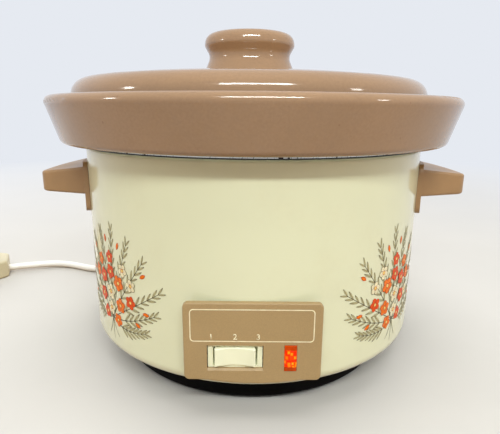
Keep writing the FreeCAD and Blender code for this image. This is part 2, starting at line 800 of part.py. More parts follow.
def panel_skirt():
    """Hollow wall behind the panel that closes the wedge between it and the round casing."""
    half = 0.5 * PANEL_WIDTH - PANEL_SKIRT_INSET
    inside = half - PANEL_SKIRT_WALL
    z_range = (panel_low, panel_top - PANEL_SKIRT_INSET)
    inner_z = (z_range[0] + PANEL_SKIRT_WALL, z_range[1] - PANEL_SKIRT_WALL)
    deep = PANEL_SKIRT_WALL - depth_on_drum(seat_radius, half)
    outer = front_plate(rounded_rectangle((-half, half), z_range, PANEL_CORNER), panel_back, deep)
    inner = front_plate(rounded_rectangle((-inside, inside), inner_z, PANEL_CORNER), panel_back, deep)
    skirt = outer.cut(inner)
    for x, z in panel_screw_places():
        skirt = skirt.fuse(cylinder(PANEL_BOSS_RADIUS, Vector(x, panel_back, z), Vector(x, deep, z)))
    return skirt.cut(casing_drum(seat_radius))


def panel_screw_places():
    return [(x, panel_low + PANEL_SCREW_RISE) for x in around(0.0, PANEL_SCREW_SPACING)]


def panel_screw_seat(x):
    return -depth_on_drum(casing_inner, abs(x) + SCREW_HEAD_RATIO * SMALL_SCREW_RADIUS) + SEAT_GAP


def panel_screw_tip():
    return panel_back - PANEL_SCREW_BITE


def panel_screw_holes():
    holes = []
    for x, z in panel_screw_places():
        start = Vector(x, panel_screw_seat(x) + SCREW_HEAD_HEIGHT, z)
        end = Vector(x, panel_screw_tip() - SCREW_CLEARANCE, z)
        holes.append(cylinder(SMALL_SCREW_RADIUS + SCREW_CLEARANCE, start, end))
    return holes


def control_panel():
    plate = front_plate(panel_outline(), panel_face, panel_back)
    face_edges = edges_where(plate, lambda centre: abs(centre.y - panel_face) < TOUCH)
    plate = plate.makeFillet(PANEL_EDGE_ROUND, face_edges)
    body = plate.fuse(panel_skirt())
    switch_hole = box(switch_range(), (panel_face, panel_back), around(switch_level, SWITCH_HEIGHT))
    neon_hole = box(around(neon_x, NEON_WIDTH), (panel_face, panel_back),
                    around(neon_level, NEON_HEIGHT))
    cuts = [switch_hole, switch_sill(), neon_hole, *panel_screw_holes()]
    return body.cut(Part.makeCompound(cuts)).removeSplitter()


def panel_screws():
    screws = []
    for x, z in panel_screw_places():
        seat = Vector(x, panel_screw_seat(x), z)
        screws.append(screw(SMALL_SCREW_RADIUS, seat, Vector(x, panel_screw_tip(), z)))
    return Part.makeCompound(screws)


# Rocker switch

def switch_bezel():
    """Cream moulding that lines the panel's cut-out and carries the rocker's pivot."""
    outer_width = SWITCH_WIDTH - 2 * BEZEL_END_GAP
    outer_height = SWITCH_HEIGHT - 2 * MOULDING_CLEARANCE
    body = box(around(switch_x, outer_width), (bezel_front, bezel_back),
               around(switch_level, outer_height))
    slot = box(around(switch_x, BEZEL_SLOT_WIDTH), (bezel_front, bezel_back - BEZEL_BACK_WALL),
               around(switch_level, BEZEL_SLOT_HEIGHT))
    half = 0.5 * outer_height
    pivot = upright(PIVOT_RADIUS + PIN_CLEARANCE, switch_x, pivot_y, switch_level - half,
                    switch_level + half)
    return body.cut(slot).cut(pivot)


def rocker():
    """Saddle-faced rocker: raised ends, a hollow middle and a bore for its pivot."""
    half = 0.5 * ROCKER_LENGTH
    half_back = 0.5 * ROCKER_BACK_LENGTH
    tips = bezel_front - ROCKER_STANDING
    back = pivot_y + ROCKER_BACK
    left = Vector(switch_x - half, tips, 0)
    right = Vector(switch_x + half, tips, 0)
    middle = Vector(switch_x, tips + ROCKER_HOLLOW, 0)
    back_right = Vector(switch_x + half_back, back, 0)
    back_left = Vector(switch_x - half_back, back, 0)
    plan = Part.Wire([Part.Arc(left, middle, right).toShape(), Part.LineSegment(right, back_right).toShape(),
                      Part.LineSegment(back_right, back_left).toShape(),
                      Part.LineSegment(back_left, left).toShape()])
    low = switch_level - 0.5 * ROCKER_HEIGHT
    plan.translate(Z_AXIS * low)
    body = Part.Face(plan).extrude(Z_AXIS * ROCKER_HEIGHT)
    front_edges = edges_where(body, lambda centre: centre.y < bezel_front - 0.5 * ROCKER_HOLLOW)
    body = body.makeFillet(ROCKER_ROUND, front_edges)
    bore = upright(PIVOT_RADIUS + PIN_CLEARANCE, switch_x, pivot_y, low, low + ROCKER_HEIGHT)
    return body.cut(bore)


def rocker_pivot():
    half = 0.5 * SWITCH_HEIGHT - MOULDING_CLEARANCE
    return upright(PIVOT_RADIUS, switch_x, pivot_y, switch_level - half, switch_level + half)


def switch_body():
    body = box(around(switch_x, SWITCH_BODY_WIDTH), (bezel_back + SEAT_GAP, switch_back),
               around(switch_level, SWITCH_BODY_HEIGHT))
    back_edges = edges_where(body, lambda centre: centre.y > bezel_back + 2 * SEAT_GAP)
    return body.makeFillet(ROCKER_ROUND, back_edges)


def blade_places():
    first = switch_x - 0.5 * BLADE_PITCH * (BLADE_COUNT - 1)
    return [first + i * BLADE_PITCH for i in range(BLADE_COUNT)]


def blade_end():
    return switch_back + SEAT_GAP + BLADE_LENGTH


def switch_blades():
    """Push-on terminal blades at the back of the switch."""
    blades = [box(around(x, BLADE_THICKNESS), (switch_back + SEAT_GAP, blade_end()),
                  around(switch_level, BLADE_WIDTH)) for x in blade_places()]
    return Part.makeCompound(blades)


# Neon lamp

def neon_front():
    return panel_face - NEON_STANDING


def neon_back():
    return panel_face + NEON_DEPTH


def neon_lens():
    """Moulded lens, a hollow block with a raised window in its front."""
    width = NEON_WIDTH - 2 * MOULDING_CLEARANCE
    height = NEON_HEIGHT - 2 * MOULDING_CLEARANCE
    shoulder = neon_front() + NEON_WINDOW_STANDING
    body = box(around(neon_x, width), (shoulder, neon_back()), around(neon_level, height))
    body = body.makeFillet(NEON_EDGE_ROUND, edges_where(body, lambda centre: centre.y < shoulder + TOUCH))
    window = box(around(neon_x, width - 2 * NEON_WINDOW_INSET), (neon_front(), panel_face),
                 around(neon_level, height - 2 * NEON_WINDOW_END))
    window = window.makeFillet(NEON_EDGE_ROUND, edges_where(window, lambda centre: centre.y < shoulder))
    body = body.fuse(window).removeSplitter()
    pocket = box(around(neon_x, width - 2 * NEON_WALL), (panel_face + NEON_FACE, neon_back()),
                 around(neon_level, height - 2 * NEON_WALL))
    return body.cut(pocket)


def lamp_y():
    return panel_face + NEON_FACE + SEAT_GAP + LAMP_RADIUS


def neon_lamp():
    """Glass lamp that lies upright in the lens."""
    half = 0.5 * NEON_HEIGHT - MOULDING_CLEARANCE - NEON_WALL - SEAT_GAP
    lamp = upright(LAMP_RADIUS, neon_x, lamp_y(), neon_level - half, neon_level + half)
    ends = edges_where(lamp, lambda centre: abs(abs(centre.z - neon_level) - half) < TOUCH)
    return lamp.makeFillet(LAMP_END_ROUND, ends)


def neon_clip():
    """Spring clip pushed over the lens behind the panel."""
    width = NEON_WIDTH + 2 * CLIP_MARGIN
    height = NEON_HEIGHT + 2 * CLIP_END_MARGIN
    y_range = (panel_back + SEAT_GAP, panel_back + SEAT_GAP + CLIP_THICKNESS)
    plate = box(around(neon_x, width), y_range, around(neon_level, height))
    hole = box(around(neon_x, NEON_WIDTH), y_range, around(neon_level, NEON_HEIGHT))
    slot = box(around(neon_x, CLIP_SLOT), y_range, (neon_level, panel_top))
    return plate.cut(hole).cut(slot)


# Base and feet

def foot_places():
    places = []
    for i in range(FOOT_COUNT):
        angle = math.radians(360.0 * (i + 0.5) / FOOT_COUNT)
        places.append((foot_circle * math.cos(angle), foot_circle * math.sin(angle)))
    return places


def base_moulding():
    """Black dish that closes the bottom, with vents, foot bosses and the pad for the cord gland."""
    low_radius = base_radius - BASE_DRAFT
    slope = BASE_DRAFT / BASE_HEIGHT
    floor_rise = slope * (FOOT_HEIGHT - BASE_CLEARANCE)
    dish = turned([
        (0.0, FOOT_HEIGHT, 0.0),
        (low_radius - BASE_WALL + floor_rise, FOOT_HEIGHT, 0.0),
        (low_radius - BASE_WALL, BASE_CLEARANCE, BASE_INNER_ROUND),
        (low_radius, BASE_CLEARANCE, BASE_ROUND),
        (base_radius, casing_low, 0.0),
        (base_radius - BASE_WALL, casing_low, 0.0),
        (low_radius - BASE_WALL + floor_rise, base_floor_top, BASE_ROUND),
        (0.0, base_floor_top, 0.0)])
    pad_y = (low_radius - BASE_WALL, gland_seat - SEAT_GAP)
    dish = dish.fuse(box(around(0.0, GLAND_PAD_WIDTH), pad_y, (BASE_CLEARANCE, casing_low)))
    boss_radius = SMALL_SCREW_RADIUS + FOOT_BOSS_WALL
    for x, y in foot_places():
        dish = dish.fuse(upright(boss_radius, x, y, base_floor_top, base_floor_top + FOOT_SCREW_REACH))
    cuts = [upright(STUD_RADIUS + SCREW_CLEARANCE, 0, 0, 0, casing_low)]
    for x, y in foot_places():
        cuts.append(upright(SMALL_SCREW_RADIUS + SCREW_CLEARANCE, x, y, 0, casing_low))
    for i in range(VENT_COUNT):
        vent = box((VENT_CIRCLE - 0.5 * VENT_LENGTH, VENT_CIRCLE + 0.5 * VENT_LENGTH),
                   around(0.0, VENT_WIDTH), (0, casing_low))
        vent.rotate(Vector(), Z_AXIS, 360.0 * i / VENT_COUNT)
        cuts.append(vent)
    cuts.append(cylinder(GLAND_NECK_RADIUS + MOULDING_CLEARANCE,
                         Vector(0, gland_inside - BASE_WALL, gland_level),
                         Vector(0, CASING_RADIUS, gland_level)))
    return dish.cut(Part.makeCompound(cuts)).removeSplitter()


def foot_screw_seat():
    return 0.5 * FOOT_HEIGHT


def foot(place):
    """Rubber foot with a sunk screw hole."""
    x, y = place
    body = Part.makeCone(FOOT_RADIUS - FOOT_TAPER, FOOT_RADIUS, FOOT_HEIGHT - SEAT_GAP, Vector(x, y, 0))
    head_radius = SCREW_HEAD_RATIO * SMALL_SCREW_RADIUS + MOULDING_CLEARANCE
    hole = upright(SMALL_SCREW_RADIUS + SCREW_CLEARANCE, x, y, 0, FOOT_HEIGHT)
    return body.cut(hole.fuse(upright(head_radius, x, y, 0, foot_screw_seat())))


def foot_screws():
    screws = []
    for x, y in foot_places():
        seat = Vector(x, y, foot_screw_seat() - SEAT_GAP)
        screws.append(screw(SMALL_SCREW_RADIUS, seat, Vector(x, y, base_floor_top + FOOT_SCREW_REACH)))
    return Part.makeCompound(screws)


def centre_stud():
    """Stud welded under the liner that clamps liner, casing and base together."""
    top = liner_under - SEAT_GAP
    plate = upright(STUD_PLATE_RADIUS, 0, 0, top - STUD_PLATE_THICKNESS, top)
    return plate.fuse(upright(STUD_RADIUS, 0, 0, FOOT_HEIGHT - STUD_BELOW_BASE, top)).removeSplitter()


def centre_nut():
    high = FOOT_HEIGHT - SEAT_GAP
    nut = hexagon(NUT_FLATS, 0, 0, high - NUT_HEIGHT, high)
    return nut.cut(upright(STUD_RADIUS + PIN_CLEARANCE, 0, 0, 0, high))


# Thermostat, terminals and inner wiring

def thermostat_under():
    return liner_under - SEAT_GAP - THERMOSTAT_DEPTH


def thermostat_stud_places():
    return [(x, THERMOSTAT_Y) for x in around(THERMOSTAT_X, THERMOSTAT_STUD_SPACING)]


def thermostat():
    """Disc thermostat held against the underside of the liner."""
    top = liner_under - SEAT_GAP
    body = upright(THERMOSTAT_RADIUS, THERMOSTAT_X, THERMOSTAT_Y, thermostat_under(), top)
    tab = box(around(THERMOSTAT_X, THERMOSTAT_TAB_LENGTH), around(THERMOSTAT_Y, THERMOSTAT_TAB_WIDTH),
              (top - THERMOSTAT_TAB_THICKNESS, top))
    body = body.fuse(tab)
    for x, y in thermostat_stud_places():
        body = body.cut(upright(SMALL_SCREW_RADIUS + SCREW_CLEARANCE, x, y, thermostat_under(), top))
    return body.removeSplitter()


def thermostat_studs():
    """Weld studs and their nuts for the thermostat's tab."""
    top = liner_under - SEAT_GAP
    nut_top = top - THERMOSTAT_TAB_THICKNESS - SEAT_GAP
    pairs = []
    for x, y in thermostat_stud_places():
        nut = hexagon(SMALL_NUT_FLATS, x, y, nut_top - SMALL_NUT_HEIGHT, nut_top)
        pairs.append(nut.fuse(upright(SMALL_SCREW_RADIUS, x, y, nut_top - SMALL_STUD_LENGTH, top)))
    return Part.makeCompound(pairs)


def block_ways():
    first = -0.5 * BLOCK_PITCH * (BLOCK_WAYS - 1)
    return [first + i * BLOCK_PITCH for i in range(BLOCK_WAYS)]


def terminal_block():
    body = box(around(0.0, BLOCK_LENGTH), around(block_y, BLOCK_WIDTH),
               around(block_level, BLOCK_HEIGHT))
    body = body.makeFillet(ROCKER_ROUND, edges_where(body, lambda centre: centre.z > block_level))
    wells = [upright(BLOCK_SCREW_RADIUS + SCREW_CLEARANCE, x, block_y, block_level,
                     block_level + BLOCK_HEIGHT) for x in block_ways()]
    return body.cut(Part.makeCompound(wells))


def terminal_screws():
    top = block_level + 0.5 * BLOCK_HEIGHT
    screws = [upright(BLOCK_SCREW_RADIUS, x, block_y, block_level + SEAT_GAP, top) for x in block_ways()]
    return Part.makeCompound(screws)


def lead_cores():
    """The lead's three cores, from the gland to the terminal block."""
    start_y = gland_inside - GLAND_FLANGE - SEAT_GAP
    end_y = block_y + 0.5 * BLOCK_WIDTH + SEAT_GAP
    cores = []
    for i, x in enumerate(block_ways()):
        start_x = CORE_PITCH * (i - 0.5 * (BLOCK_WAYS - 1))
        cores.append(wire_through([
            (start_x, start_y, gland_level), (start_x, start_y - CORE_STRAIGHT, gland_level),
            (x, end_y + CORE_STRAIGHT, block_level), (x, end_y, block_level)]))
    return Part.makeCompound(cores)


def earth_tag():
    """Tag welded under the liner for the earth wire."""
    top = liner_under - SEAT_GAP
    tag = box(around(EARTH_X, BLADE_WIDTH), around(EARTH_Y, 2 * BLADE_WIDTH), (top - BLADE_THICKNESS, top))
    drop = box(around(EARTH_X, BLADE_WIDTH), (EARTH_Y + BLADE_WIDTH - BLADE_THICKNESS, EARTH_Y + BLADE_WIDTH),
               (top - BLADE_LENGTH, top))
    return tag.fuse(drop).removeSplitter()


def block_front(way):
    return Vector(block_ways()[way], block_y - 0.5 * BLOCK_WIDTH - SEAT_GAP, block_level)


def earth_wire():
    start = block_front(1)
    tag_low = liner_under - SEAT_GAP - BLADE_LENGTH
    end = Vector(EARTH_X, EARTH_Y + BLADE_WIDTH - 0.5 * BLADE_THICKNESS, tag_low - SEAT_GAP)
    middle = (start + end) * 0.5
    points = [start, Vector(start.x, start.y - EARTH_WIRE_STRAIGHT, start.z), middle,
              Vector(end.x, end.y, end.z - EARTH_WIRE_RISE), end]
    return wire_through([tuple(point) for point in points])


def live_wire():
    """Wire from the terminal block to the middle blade of the switch."""
    start = block_front(0)
    end = Vector(blade_places()[1], blade_end() + SEAT_GAP, switch_level)
    points = [start, Vector(start.x, 0.5 * start.y, start.z), Vector(end.x, 0.5 * end.y, end.z), end]
    return wire_through([tuple(point) for point in points])


def neutral_wire():
    """Wire from the terminal block to the lamp."""
    start = block_front(2)
    end = Vector(neon_x, lamp_y() + LAMP_RADIUS + SEAT_GAP, neon_level)
    points = [start, Vector(start.x, 0.5 * start.y, start.z), Vector(end.x, 0.5 * end.y, end.z), end]
    return wire_through([tuple(point) for point in points])


def element_leads():
    """Leads from the outer blades of the switch, up beside the liner to the edge of the element."""
    riser_radius = liner_outer + WIRE_RADIUS + SEAT_GAP
    riser_angle = math.radians(RISER_ANGLE)
    start_y = blade_end() + SEAT_GAP
    turn_y = start_y + LEAD_STRAIGHT
    leads = []
    for side, blade_x in ((-1, blade_places()[0]), (1, blade_places()[-1])):
        riser_x = side * riser_radius * math.sin(riser_angle)
        riser_y = -riser_radius * math.cos(riser_angle)
        dip = switch_level - RISER_DIP
        leads.append(wire_through([
            (blade_x, start_y, switch_level), (blade_x, turn_y, switch_level),
            (riser_x - side * RISER_SWEEP, turn_y + RISER_SWEEP, dip), (riser_x, riser_y, dip),
            (riser_x, riser_y, element_low() - SEAT_GAP)]))
    return Part.makeCompound(leads)


# Mains lead

def cord_gland():
    """Strain relief: a flanged neck through the base and a tapered tail."""
    profile = [(0.0, gland_inside - GLAND_FLANGE, 0.0),
               (GLAND_NECK_RADIUS + GLAND_LOCK, gland_inside - GLAND_FLANGE, 0.0),
               (GLAND_NECK_RADIUS + GLAND_LOCK, gland_inside - SEAT_GAP, 0.0),
               (GLAND_NECK_RADIUS, gland_inside - SEAT_GAP, 0.0),
               (GLAND_NECK_RADIUS, gland_seat, 0.0),
               (GLAND_FLANGE_RADIUS, gland_seat, 0.0),
               (GLAND_FLANGE_RADIUS, gland_seat + GLAND_FLANGE, 0.5 * GLAND_FLANGE),
               (GLAND_TAIL_RADIUS, gland_seat + GLAND_FLANGE, 0.5 * GLAND_FLANGE),
               (GLAND_TIP_RADIUS, gland_seat + GLAND_FLANGE + GLAND_TAIL, 0.0),
               (0.0, gland_seat + GLAND_FLANGE + GLAND_TAIL, 0.0)]
    gland = turned(profile)
    gland.rotate(Vector(), Vector(1, 0, 0), -90.0)
    gland.translate(Z_AXIS * gland_level)
    return gland


def cord_stretch(points, name):
    path, radii = route(points)
    body = tube(path, CORD_RADIUS)
    expected = math.pi * CORD_RADIUS ** 2 * path.Length
    print(name, "length %.1f" % path.Length, "volume ratio %.4f" % (body.Volume / expected),
          "radii", ["%.1f" % radius for radius in radii])
    return body


def coil_point(turns):
    """Middle of the cord at a count of turns: in along the lower layer, out along the upper one."""
    middle = 0.5 * COIL_TURNS
    radius = COIL_RADIUS - COIL_PITCH * (middle - abs(turns - middle))
    climb = min(max((turns - middle) * 2.0 + 0.5, 0.0), 1.0)
    level = COIL_LAY + COIL_LAYER * climb * climb * (3.0 - 2.0 * climb)
    angle = 2.0 * math.pi * turns
    return Vector(COIL_CENTRE_X + radius * math.cos(angle), COIL_CENTRE_Y + radius * math.sin(angle), level)


def coil_direction(turns):
    step = 0.002
    return (coil_point(turns + step) - coil_point(turns - step)).normalize()


def coil_path():
    steps = round(COIL_TURNS * COIL_STEPS_PER_TURN)
    turns = [i / COIL_STEPS_PER_TURN for i in range(steps + 1)]
    directions = [coil_direction(turn) for turn in turns]
    directions[0] = Vector(0, 1, 0)
    directions[-1] = Vector(0, -1, 0)
    points = [coil_point(turn) for turn in turns]
    straight = 2.0 * CORD_RADIUS
    edges = [Part.LineSegment(points[0] - directions[0] * straight, points[0]).toShape()]
    for i in range(steps):
        edges += biarc(points[i], directions[i], points[i + 1], directions[i + 1])
    edges.append(Part.LineSegment(points[-1], points[-1] + directions[-1] * straight).toShape())
    return Part.Wire(edges)


def least_self_gap(path):
    """Smallest clear distance between stretches of a wound tube, measured on points along it."""
    spacing = 2.0
    points = path.discretize(Distance=spacing)
    skip = int(math.pi * COIL_RADIUS / spacing)
    pairs = ((i, j) for i in range(len(points)) for j in range(i + skip, len(points)))
    return min((points[i] - points[j]).Length for i, j in pairs) - 2.0 * CORD_RADIUS


def cord_coil():
    path = coil_path()
    body = tube(path, CORD_RADIUS)
    expected = math.pi * CORD_RADIUS ** 2 * path.Length
    print("cord_coil length %.1f" % path.Length, "volume ratio %.4f" % (body.Volume / expected),
          "least gap %.2f" % least_self_gap(path))
    return body


def coil_tie():
    """Strap round the stacked strands on the side of the coil next to the cooker."""
    near = coil_point(0.75)
    far = coil_point(COIL_TURNS - 0.75)
    reach = CORD_RADIUS + TIE_CLEARANCE
    y_range = (min(near.y, far.y) - reach, max(near.y, far.y) + reach)
    z_range = (near.z - reach, far.z + reach)
    inner = rounded_rectangle(y_range, z_range, CORD_RADIUS)
    outer = rounded_rectangle((y_range[0] - TIE_THICKNESS, y_range[1] + TIE_THICKNESS),
                              (z_range[0] - TIE_THICKNESS, z_range[1] + TIE_THICKNESS),
                              CORD_RADIUS + TIE_THICKNESS)
    band = front_plate(outer, -0.5 * TIE_WIDTH, 0.5 * TIE_WIDTH)
    band = band.cut(front_plate(inner, -0.5 * TIE_WIDTH, 0.5 * TIE_WIDTH))
    band.rotate(Vector(), Z_AXIS, 90.0)
    band.translate(Vector(near.x, 0, 0))
    return band


def plug_face():
    """Middle of the plug's cord end, where the tail stops."""
    return TAIL_POINTS[-1]


def plug_turned(piece):
    """Turn a piece of the plug into line with the end of the tail."""
    end = Vector(*plug_face())
    run = Vector(*TAIL_POINTS[-2]) - end
    piece.rotate(end, Z_AXIS, math.degrees(math.atan2(run.y, run.x)))
    return piece


def plug_outline():
    """Plan of the plug: narrow at the cord, full width behind its shoulders."""
    x, y, _ = plug_face()
    half = 0.5 * PLUG_WIDTH
    half_cord = 0.5 * PLUG_CORD_WIDTH
    return [(x, y - half_cord, 0.5 * PLUG_CORNER), (x, y + half_cord, 0.5 * PLUG_CORNER),
            (x - PLUG_SHOULDER, y + half, PLUG_CORNER), (x - PLUG_LENGTH, y + half, PLUG_CORNER),
            (x - PLUG_LENGTH, y - half, PLUG_CORNER), (x - PLUG_SHOULDER, y - half, PLUG_CORNER)]


def plug_cover():
    """Cover of the plug, which lies on the table."""
    body = Part.Face(outline(plug_outline(), in_plan)).extrude(Z_AXIS * PLUG_COVER)
    return body.makeFillet(PLUG_EDGE_ROUND, edges_where(body, lambda centre: centre.z < TOUCH))


def pin_places():
    """Middle, width across and length of each flat pin: line, neutral and earth."""
    x, y, _ = plug_face()
    row = x - PIN_INSET
    return [(row, y - 0.5 * PIN_SPACING, PIN_THICKNESS, PIN_WIDTH, PIN_LENGTH),
            (row, y + 0.5 * PIN_SPACING, PIN_THICKNESS, PIN_WIDTH, PIN_LENGTH),
            (row - PIN_SPACING, y, EARTH_PIN_WIDTH, PIN_THICKNESS, EARTH_PIN_LENGTH)]


def plug_base_low():
    return PLUG_COVER + SEAT_GAP


def plug_base_top():
    return plug_base_low() + PLUG_BASE


def plug_base():
    """Base of the plug, which carries the pins."""
    body = Part.Face(outline(plug_outline(), in_plan)).extrude(Z_AXIS * PLUG_BASE)
    body.translate(Z_AXIS * plug_base_low())
    top = plug_base_top()
    body = body.makeFillet(PLUG_EDGE_ROUND, edges_where(body, lambda centre: abs(centre.z - top) < TOUCH))
    cuts = [plug_screw_hole()]
    for x, y, depth, width, _ in pin_places():
        cuts.append(box(around(x, depth + SEAT_GAP), around(y, width + SEAT_GAP), (top - PIN_ROOT, top)))
    return body.cut(Part.makeCompound(cuts))


def plug_pins():
    pins = []
    for x, y, depth, width, length in pin_places():
        pin = box(around(x, depth), around(y, width),
                  (plug_base_top() - PIN_ROOT + SEAT_GAP, plug_base_top() + length))
        pins.append(pin)
    return Part.makeCompound(pins)


def plug_screw_place():
    x, y, _ = plug_face()
    return x - PLUG_SCREW_INSET, y


def plug_screw_seat():
    return plug_base_top() - PLUG_SCREW_SINK


def plug_screw_hole():
    x, y = plug_screw_place()
    head_radius = SCREW_HEAD_RATIO * SMALL_SCREW_RADIUS + MOULDING_CLEARANCE
    shank = upright(SMALL_SCREW_RADIUS + SCREW_CLEARANCE, x, y, plug_base_low(), plug_base_top())
    return shank.fuse(upright(head_radius, x, y, plug_screw_seat(), plug_base_top()))


def plug_screw():
    x, y = plug_screw_place()
    return screw(SMALL_SCREW_RADIUS, Vector(x, y, plug_screw_seat() + SEAT_GAP),
                 Vector(x, y, plug_base_low() + SEAT_GAP))


PARTS = {
    "outer_casing": outer_casing(),
    "inner_liner": inner_liner(),
    "heating_element": heating_element(),
    "element_strap": element_strap(),
    "strap_screw": strap_screw(),
    "crock": crock(),
    "lid": lid(),
    "left_handle": handle(-1),
    "right_handle": handle(1),
    "handle_screws": handle_screws(),
    "control_panel": control_panel(),
    "panel_screws": panel_screws(),
    "switch_bezel": switch_bezel(),
    "rocker": rocker(),
    "rocker_pivot": rocker_pivot(),
    "switch_body": switch_body(),
    "switch_blades": switch_blades(),
    "neon_lens": neon_lens(),
    "neon_lamp": neon_lamp(),
    "neon_clip": neon_clip(),
    "base_moulding": base_moulding(),
    "foot_screws": foot_screws(),
    "centre_stud": centre_stud(),
    "centre_nut": centre_nut(),
    "thermostat": thermostat(),
    "thermostat_studs": thermostat_studs(),
    "terminal_block": terminal_block(),
    "terminal_screws": terminal_screws(),
    "lead_cores": lead_cores(),
    "earth_tag": earth_tag(),
    "earth_wire": earth_wire(),
    "live_wire": live_wire(),
    "neutral_wire": neutral_wire(),
    "element_leads": element_leads(),
    "cord_gland": cord_gland(),
    "cord_lead": cord_stretch(LEAD_POINTS, "cord_lead"),
    "cord_coil": cord_coil(),
    "cord_tail": cord_stretch(TAIL_POINTS, "cord_tail"),
    "coil_tie": coil_tie(),
    "plug_cover": plug_turned(plug_cover()),
    "plug_base": plug_turned(plug_base()),
    "plug_pins": plug_turned(plug_pins()),
    "plug_screw": plug_turned(plug_screw()),
}
FOOT_NAMES = ["foot_rear_right", "foot_rear_left", "foot_front_left", "foot_front_right"]
for foot_name, foot_place in zip(FOOT_NAMES, foot_places()):
    PARTS[foot_name] = foot(foot_place)

os.makedirs("parts", exist_ok=True)
for name, shape in PARTS.items():
    shape.exportStep("parts/%s.step" % name)
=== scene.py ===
"""Looks of a slow cooker: finishes, mains lead, printed decoration and a plain studio."""

import math

import bmesh
import bpy
from mathutils import Matrix, Vector


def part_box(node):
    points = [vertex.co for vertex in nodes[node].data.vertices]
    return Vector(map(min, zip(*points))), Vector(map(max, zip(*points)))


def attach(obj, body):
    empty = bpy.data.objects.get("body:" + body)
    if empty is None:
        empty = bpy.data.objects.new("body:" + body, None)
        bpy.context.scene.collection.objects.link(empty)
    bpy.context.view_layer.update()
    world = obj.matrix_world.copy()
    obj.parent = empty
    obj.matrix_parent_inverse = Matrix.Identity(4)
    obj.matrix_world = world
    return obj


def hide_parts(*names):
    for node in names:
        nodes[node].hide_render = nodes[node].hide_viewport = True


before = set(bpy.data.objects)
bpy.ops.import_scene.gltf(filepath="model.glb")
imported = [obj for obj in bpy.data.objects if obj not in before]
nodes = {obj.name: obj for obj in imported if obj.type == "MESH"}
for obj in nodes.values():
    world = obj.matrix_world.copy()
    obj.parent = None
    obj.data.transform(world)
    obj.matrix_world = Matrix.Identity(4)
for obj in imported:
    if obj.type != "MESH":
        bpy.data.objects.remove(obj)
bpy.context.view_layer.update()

MM = 0.001

# Camera at the photograph's viewpoint
IMAGE_WIDTH = 500
FOCAL_PIXELS = 437.0
SENSOR_WIDTH = 36.0
CAMERA_PLACE = (-2.0 * MM, -338.0 * MM, 176.0 * MM)
CAMERA_PITCH = math.radians(90.0 - 13.68)
CAMERA_ROLL = math.radians(0.45)
CAMERA_NEAR = 10.0 * MM

# Usual values of a pattern, between which tone and gloss vary
PATTERN_LOW = 0.3
PATTERN_MIDDLE = 0.5
PATTERN_HIGH = 0.7

# Mains lead, in millimetres: the route of the CAD tube, with its tied coil between lead and tail
CORD_DIAMETER = 7.0
CORD_STEPS = 6
CORD_ROUNDNESS = 5
LEAD_POINTS = [(0, 130.7, 13.0), (0, 148, 13.0), (0, 168, 4.6), (0, 185, 4.6)]
TAIL_POINTS = [(-88, 185, 12.2), (-88, 166, 12.2), (-97, 147, 8.2), (-115, 133, 4.0),
               (-165, 114, 3.6), (-216.2, 140.7, 3.6), (-254.3, 122.9, 6.0), (-267, 117, 6.0)]
COIL_CENTRE = (-44.0, 192.0)
COIL_RADIUS = 44.0
COIL_TURNS = 2.5
COIL_PITCH = 8.0
COIL_LAY = 4.6
COIL_LAYER = 7.6
COIL_CLIMB_TURNS = 0.5
COIL_POINTS_PER_TURN = 24

# Neon lens, in millimetres: its dark ends, and the blur where they meet the lit window
LENS_END = 2.6
LENS_BLUR = 0.3

# Distances from the axis between which the dark flecks on the outer edge of the liner's flange set in
FLANGE_FLECK_REACH = (119.6 * MM, 120.4 * MM)

# Dark ring round the lower edge of the liner's flange, in millimetres: painted shade for the shadow gap
# under the flange
SHADOW_RING_RADIUS = 121.75
SHADOW_RING_WIDTH = 0.4
SHADOW_RING_LOW = 152.3
SHADOW_RING_HIGH = 153.0
SHADOW_RING_ROUND = 0.1
SHADOW_RING_ROUND_STEPS = 2
SHADOW_RING_SIDES = 256
SHADOW_RING_SMOOTH_ANGLE = math.radians(40.0)

# Printed marks on the control panel, in millimetres
PANEL_FACE = -122.9
PANEL_INK = (248, 238, 204)
FRAME_LOW = (-34.3, 53.6)
FRAME_HIGH = (33.5, 72.8)
FRAME_CORNER = 2.2
FRAME_CORNER_STEPS = 6
FRAME_LINE = 0.55
NUMERAL_PLACES = {"1": -22.7, "2": -9.6, "3": 3.1}
NUMERAL_LEVEL = 55.0
NUMERAL_HEIGHT = 3.1
NUMERAL_WEIGHT = 0.08
NUMERAL_SHARE_OF_SIZE = 0.68
INK_LIFT = 0.03
INK_THICKNESS = 0.03

# Printed posies on the casing, in millimetres, drawn flat about their middle
CASING_RADIUS = 120.0
POSY_TURN = math.radians(48.0)
POSY_LEVEL = 68.0
POSY_STRIP = 2.5
POSY_STRIPS_EACH_WAY = 24
POSY_FOOT = (0.0, -21.0)
POSY_INKS = {"olive": (88, 80, 54), "sage": (200, 192, 146), "orange": (226, 78, 4),
             "coral": (240, 118, 16), "rust": (184, 48, 4), "straw": (240, 210, 120),
             "petal_cream": (240, 230, 194)}
OVAL_SIDES = 16
OVAL_TIP_SHARE = 0.495

# Bend and end of each stem, and of each cut stalk under the posy's foot
STEMS = [((-15, -27), (-34, -19)), ((-20, -17), (-43, -4)), ((-19, -2), (-40, 13)),
         ((-12, 4), (-27, 26)), ((-5, 8), (-12, 33)), ((2, 8), (4, 37)), ((9, 6), (20, 31)),
         ((15, 0), (33, 22)), ((20, -10), (45, 6)), ((19, -20), (41, -9)), ((13, -28), (33, -22))]
STALKS = [((-2, -28), (-6, -34)), ((0, -28), (0.5, -36)), ((2, -28), (7, -33))]
STEM_RADIUS = 0.3
STEM_TAPER = 0.5
STEM_FLATNESS = 0.08
STEM_STEPS = 24
STEM_HANDLE_SHARE = 2.0 / 3.0

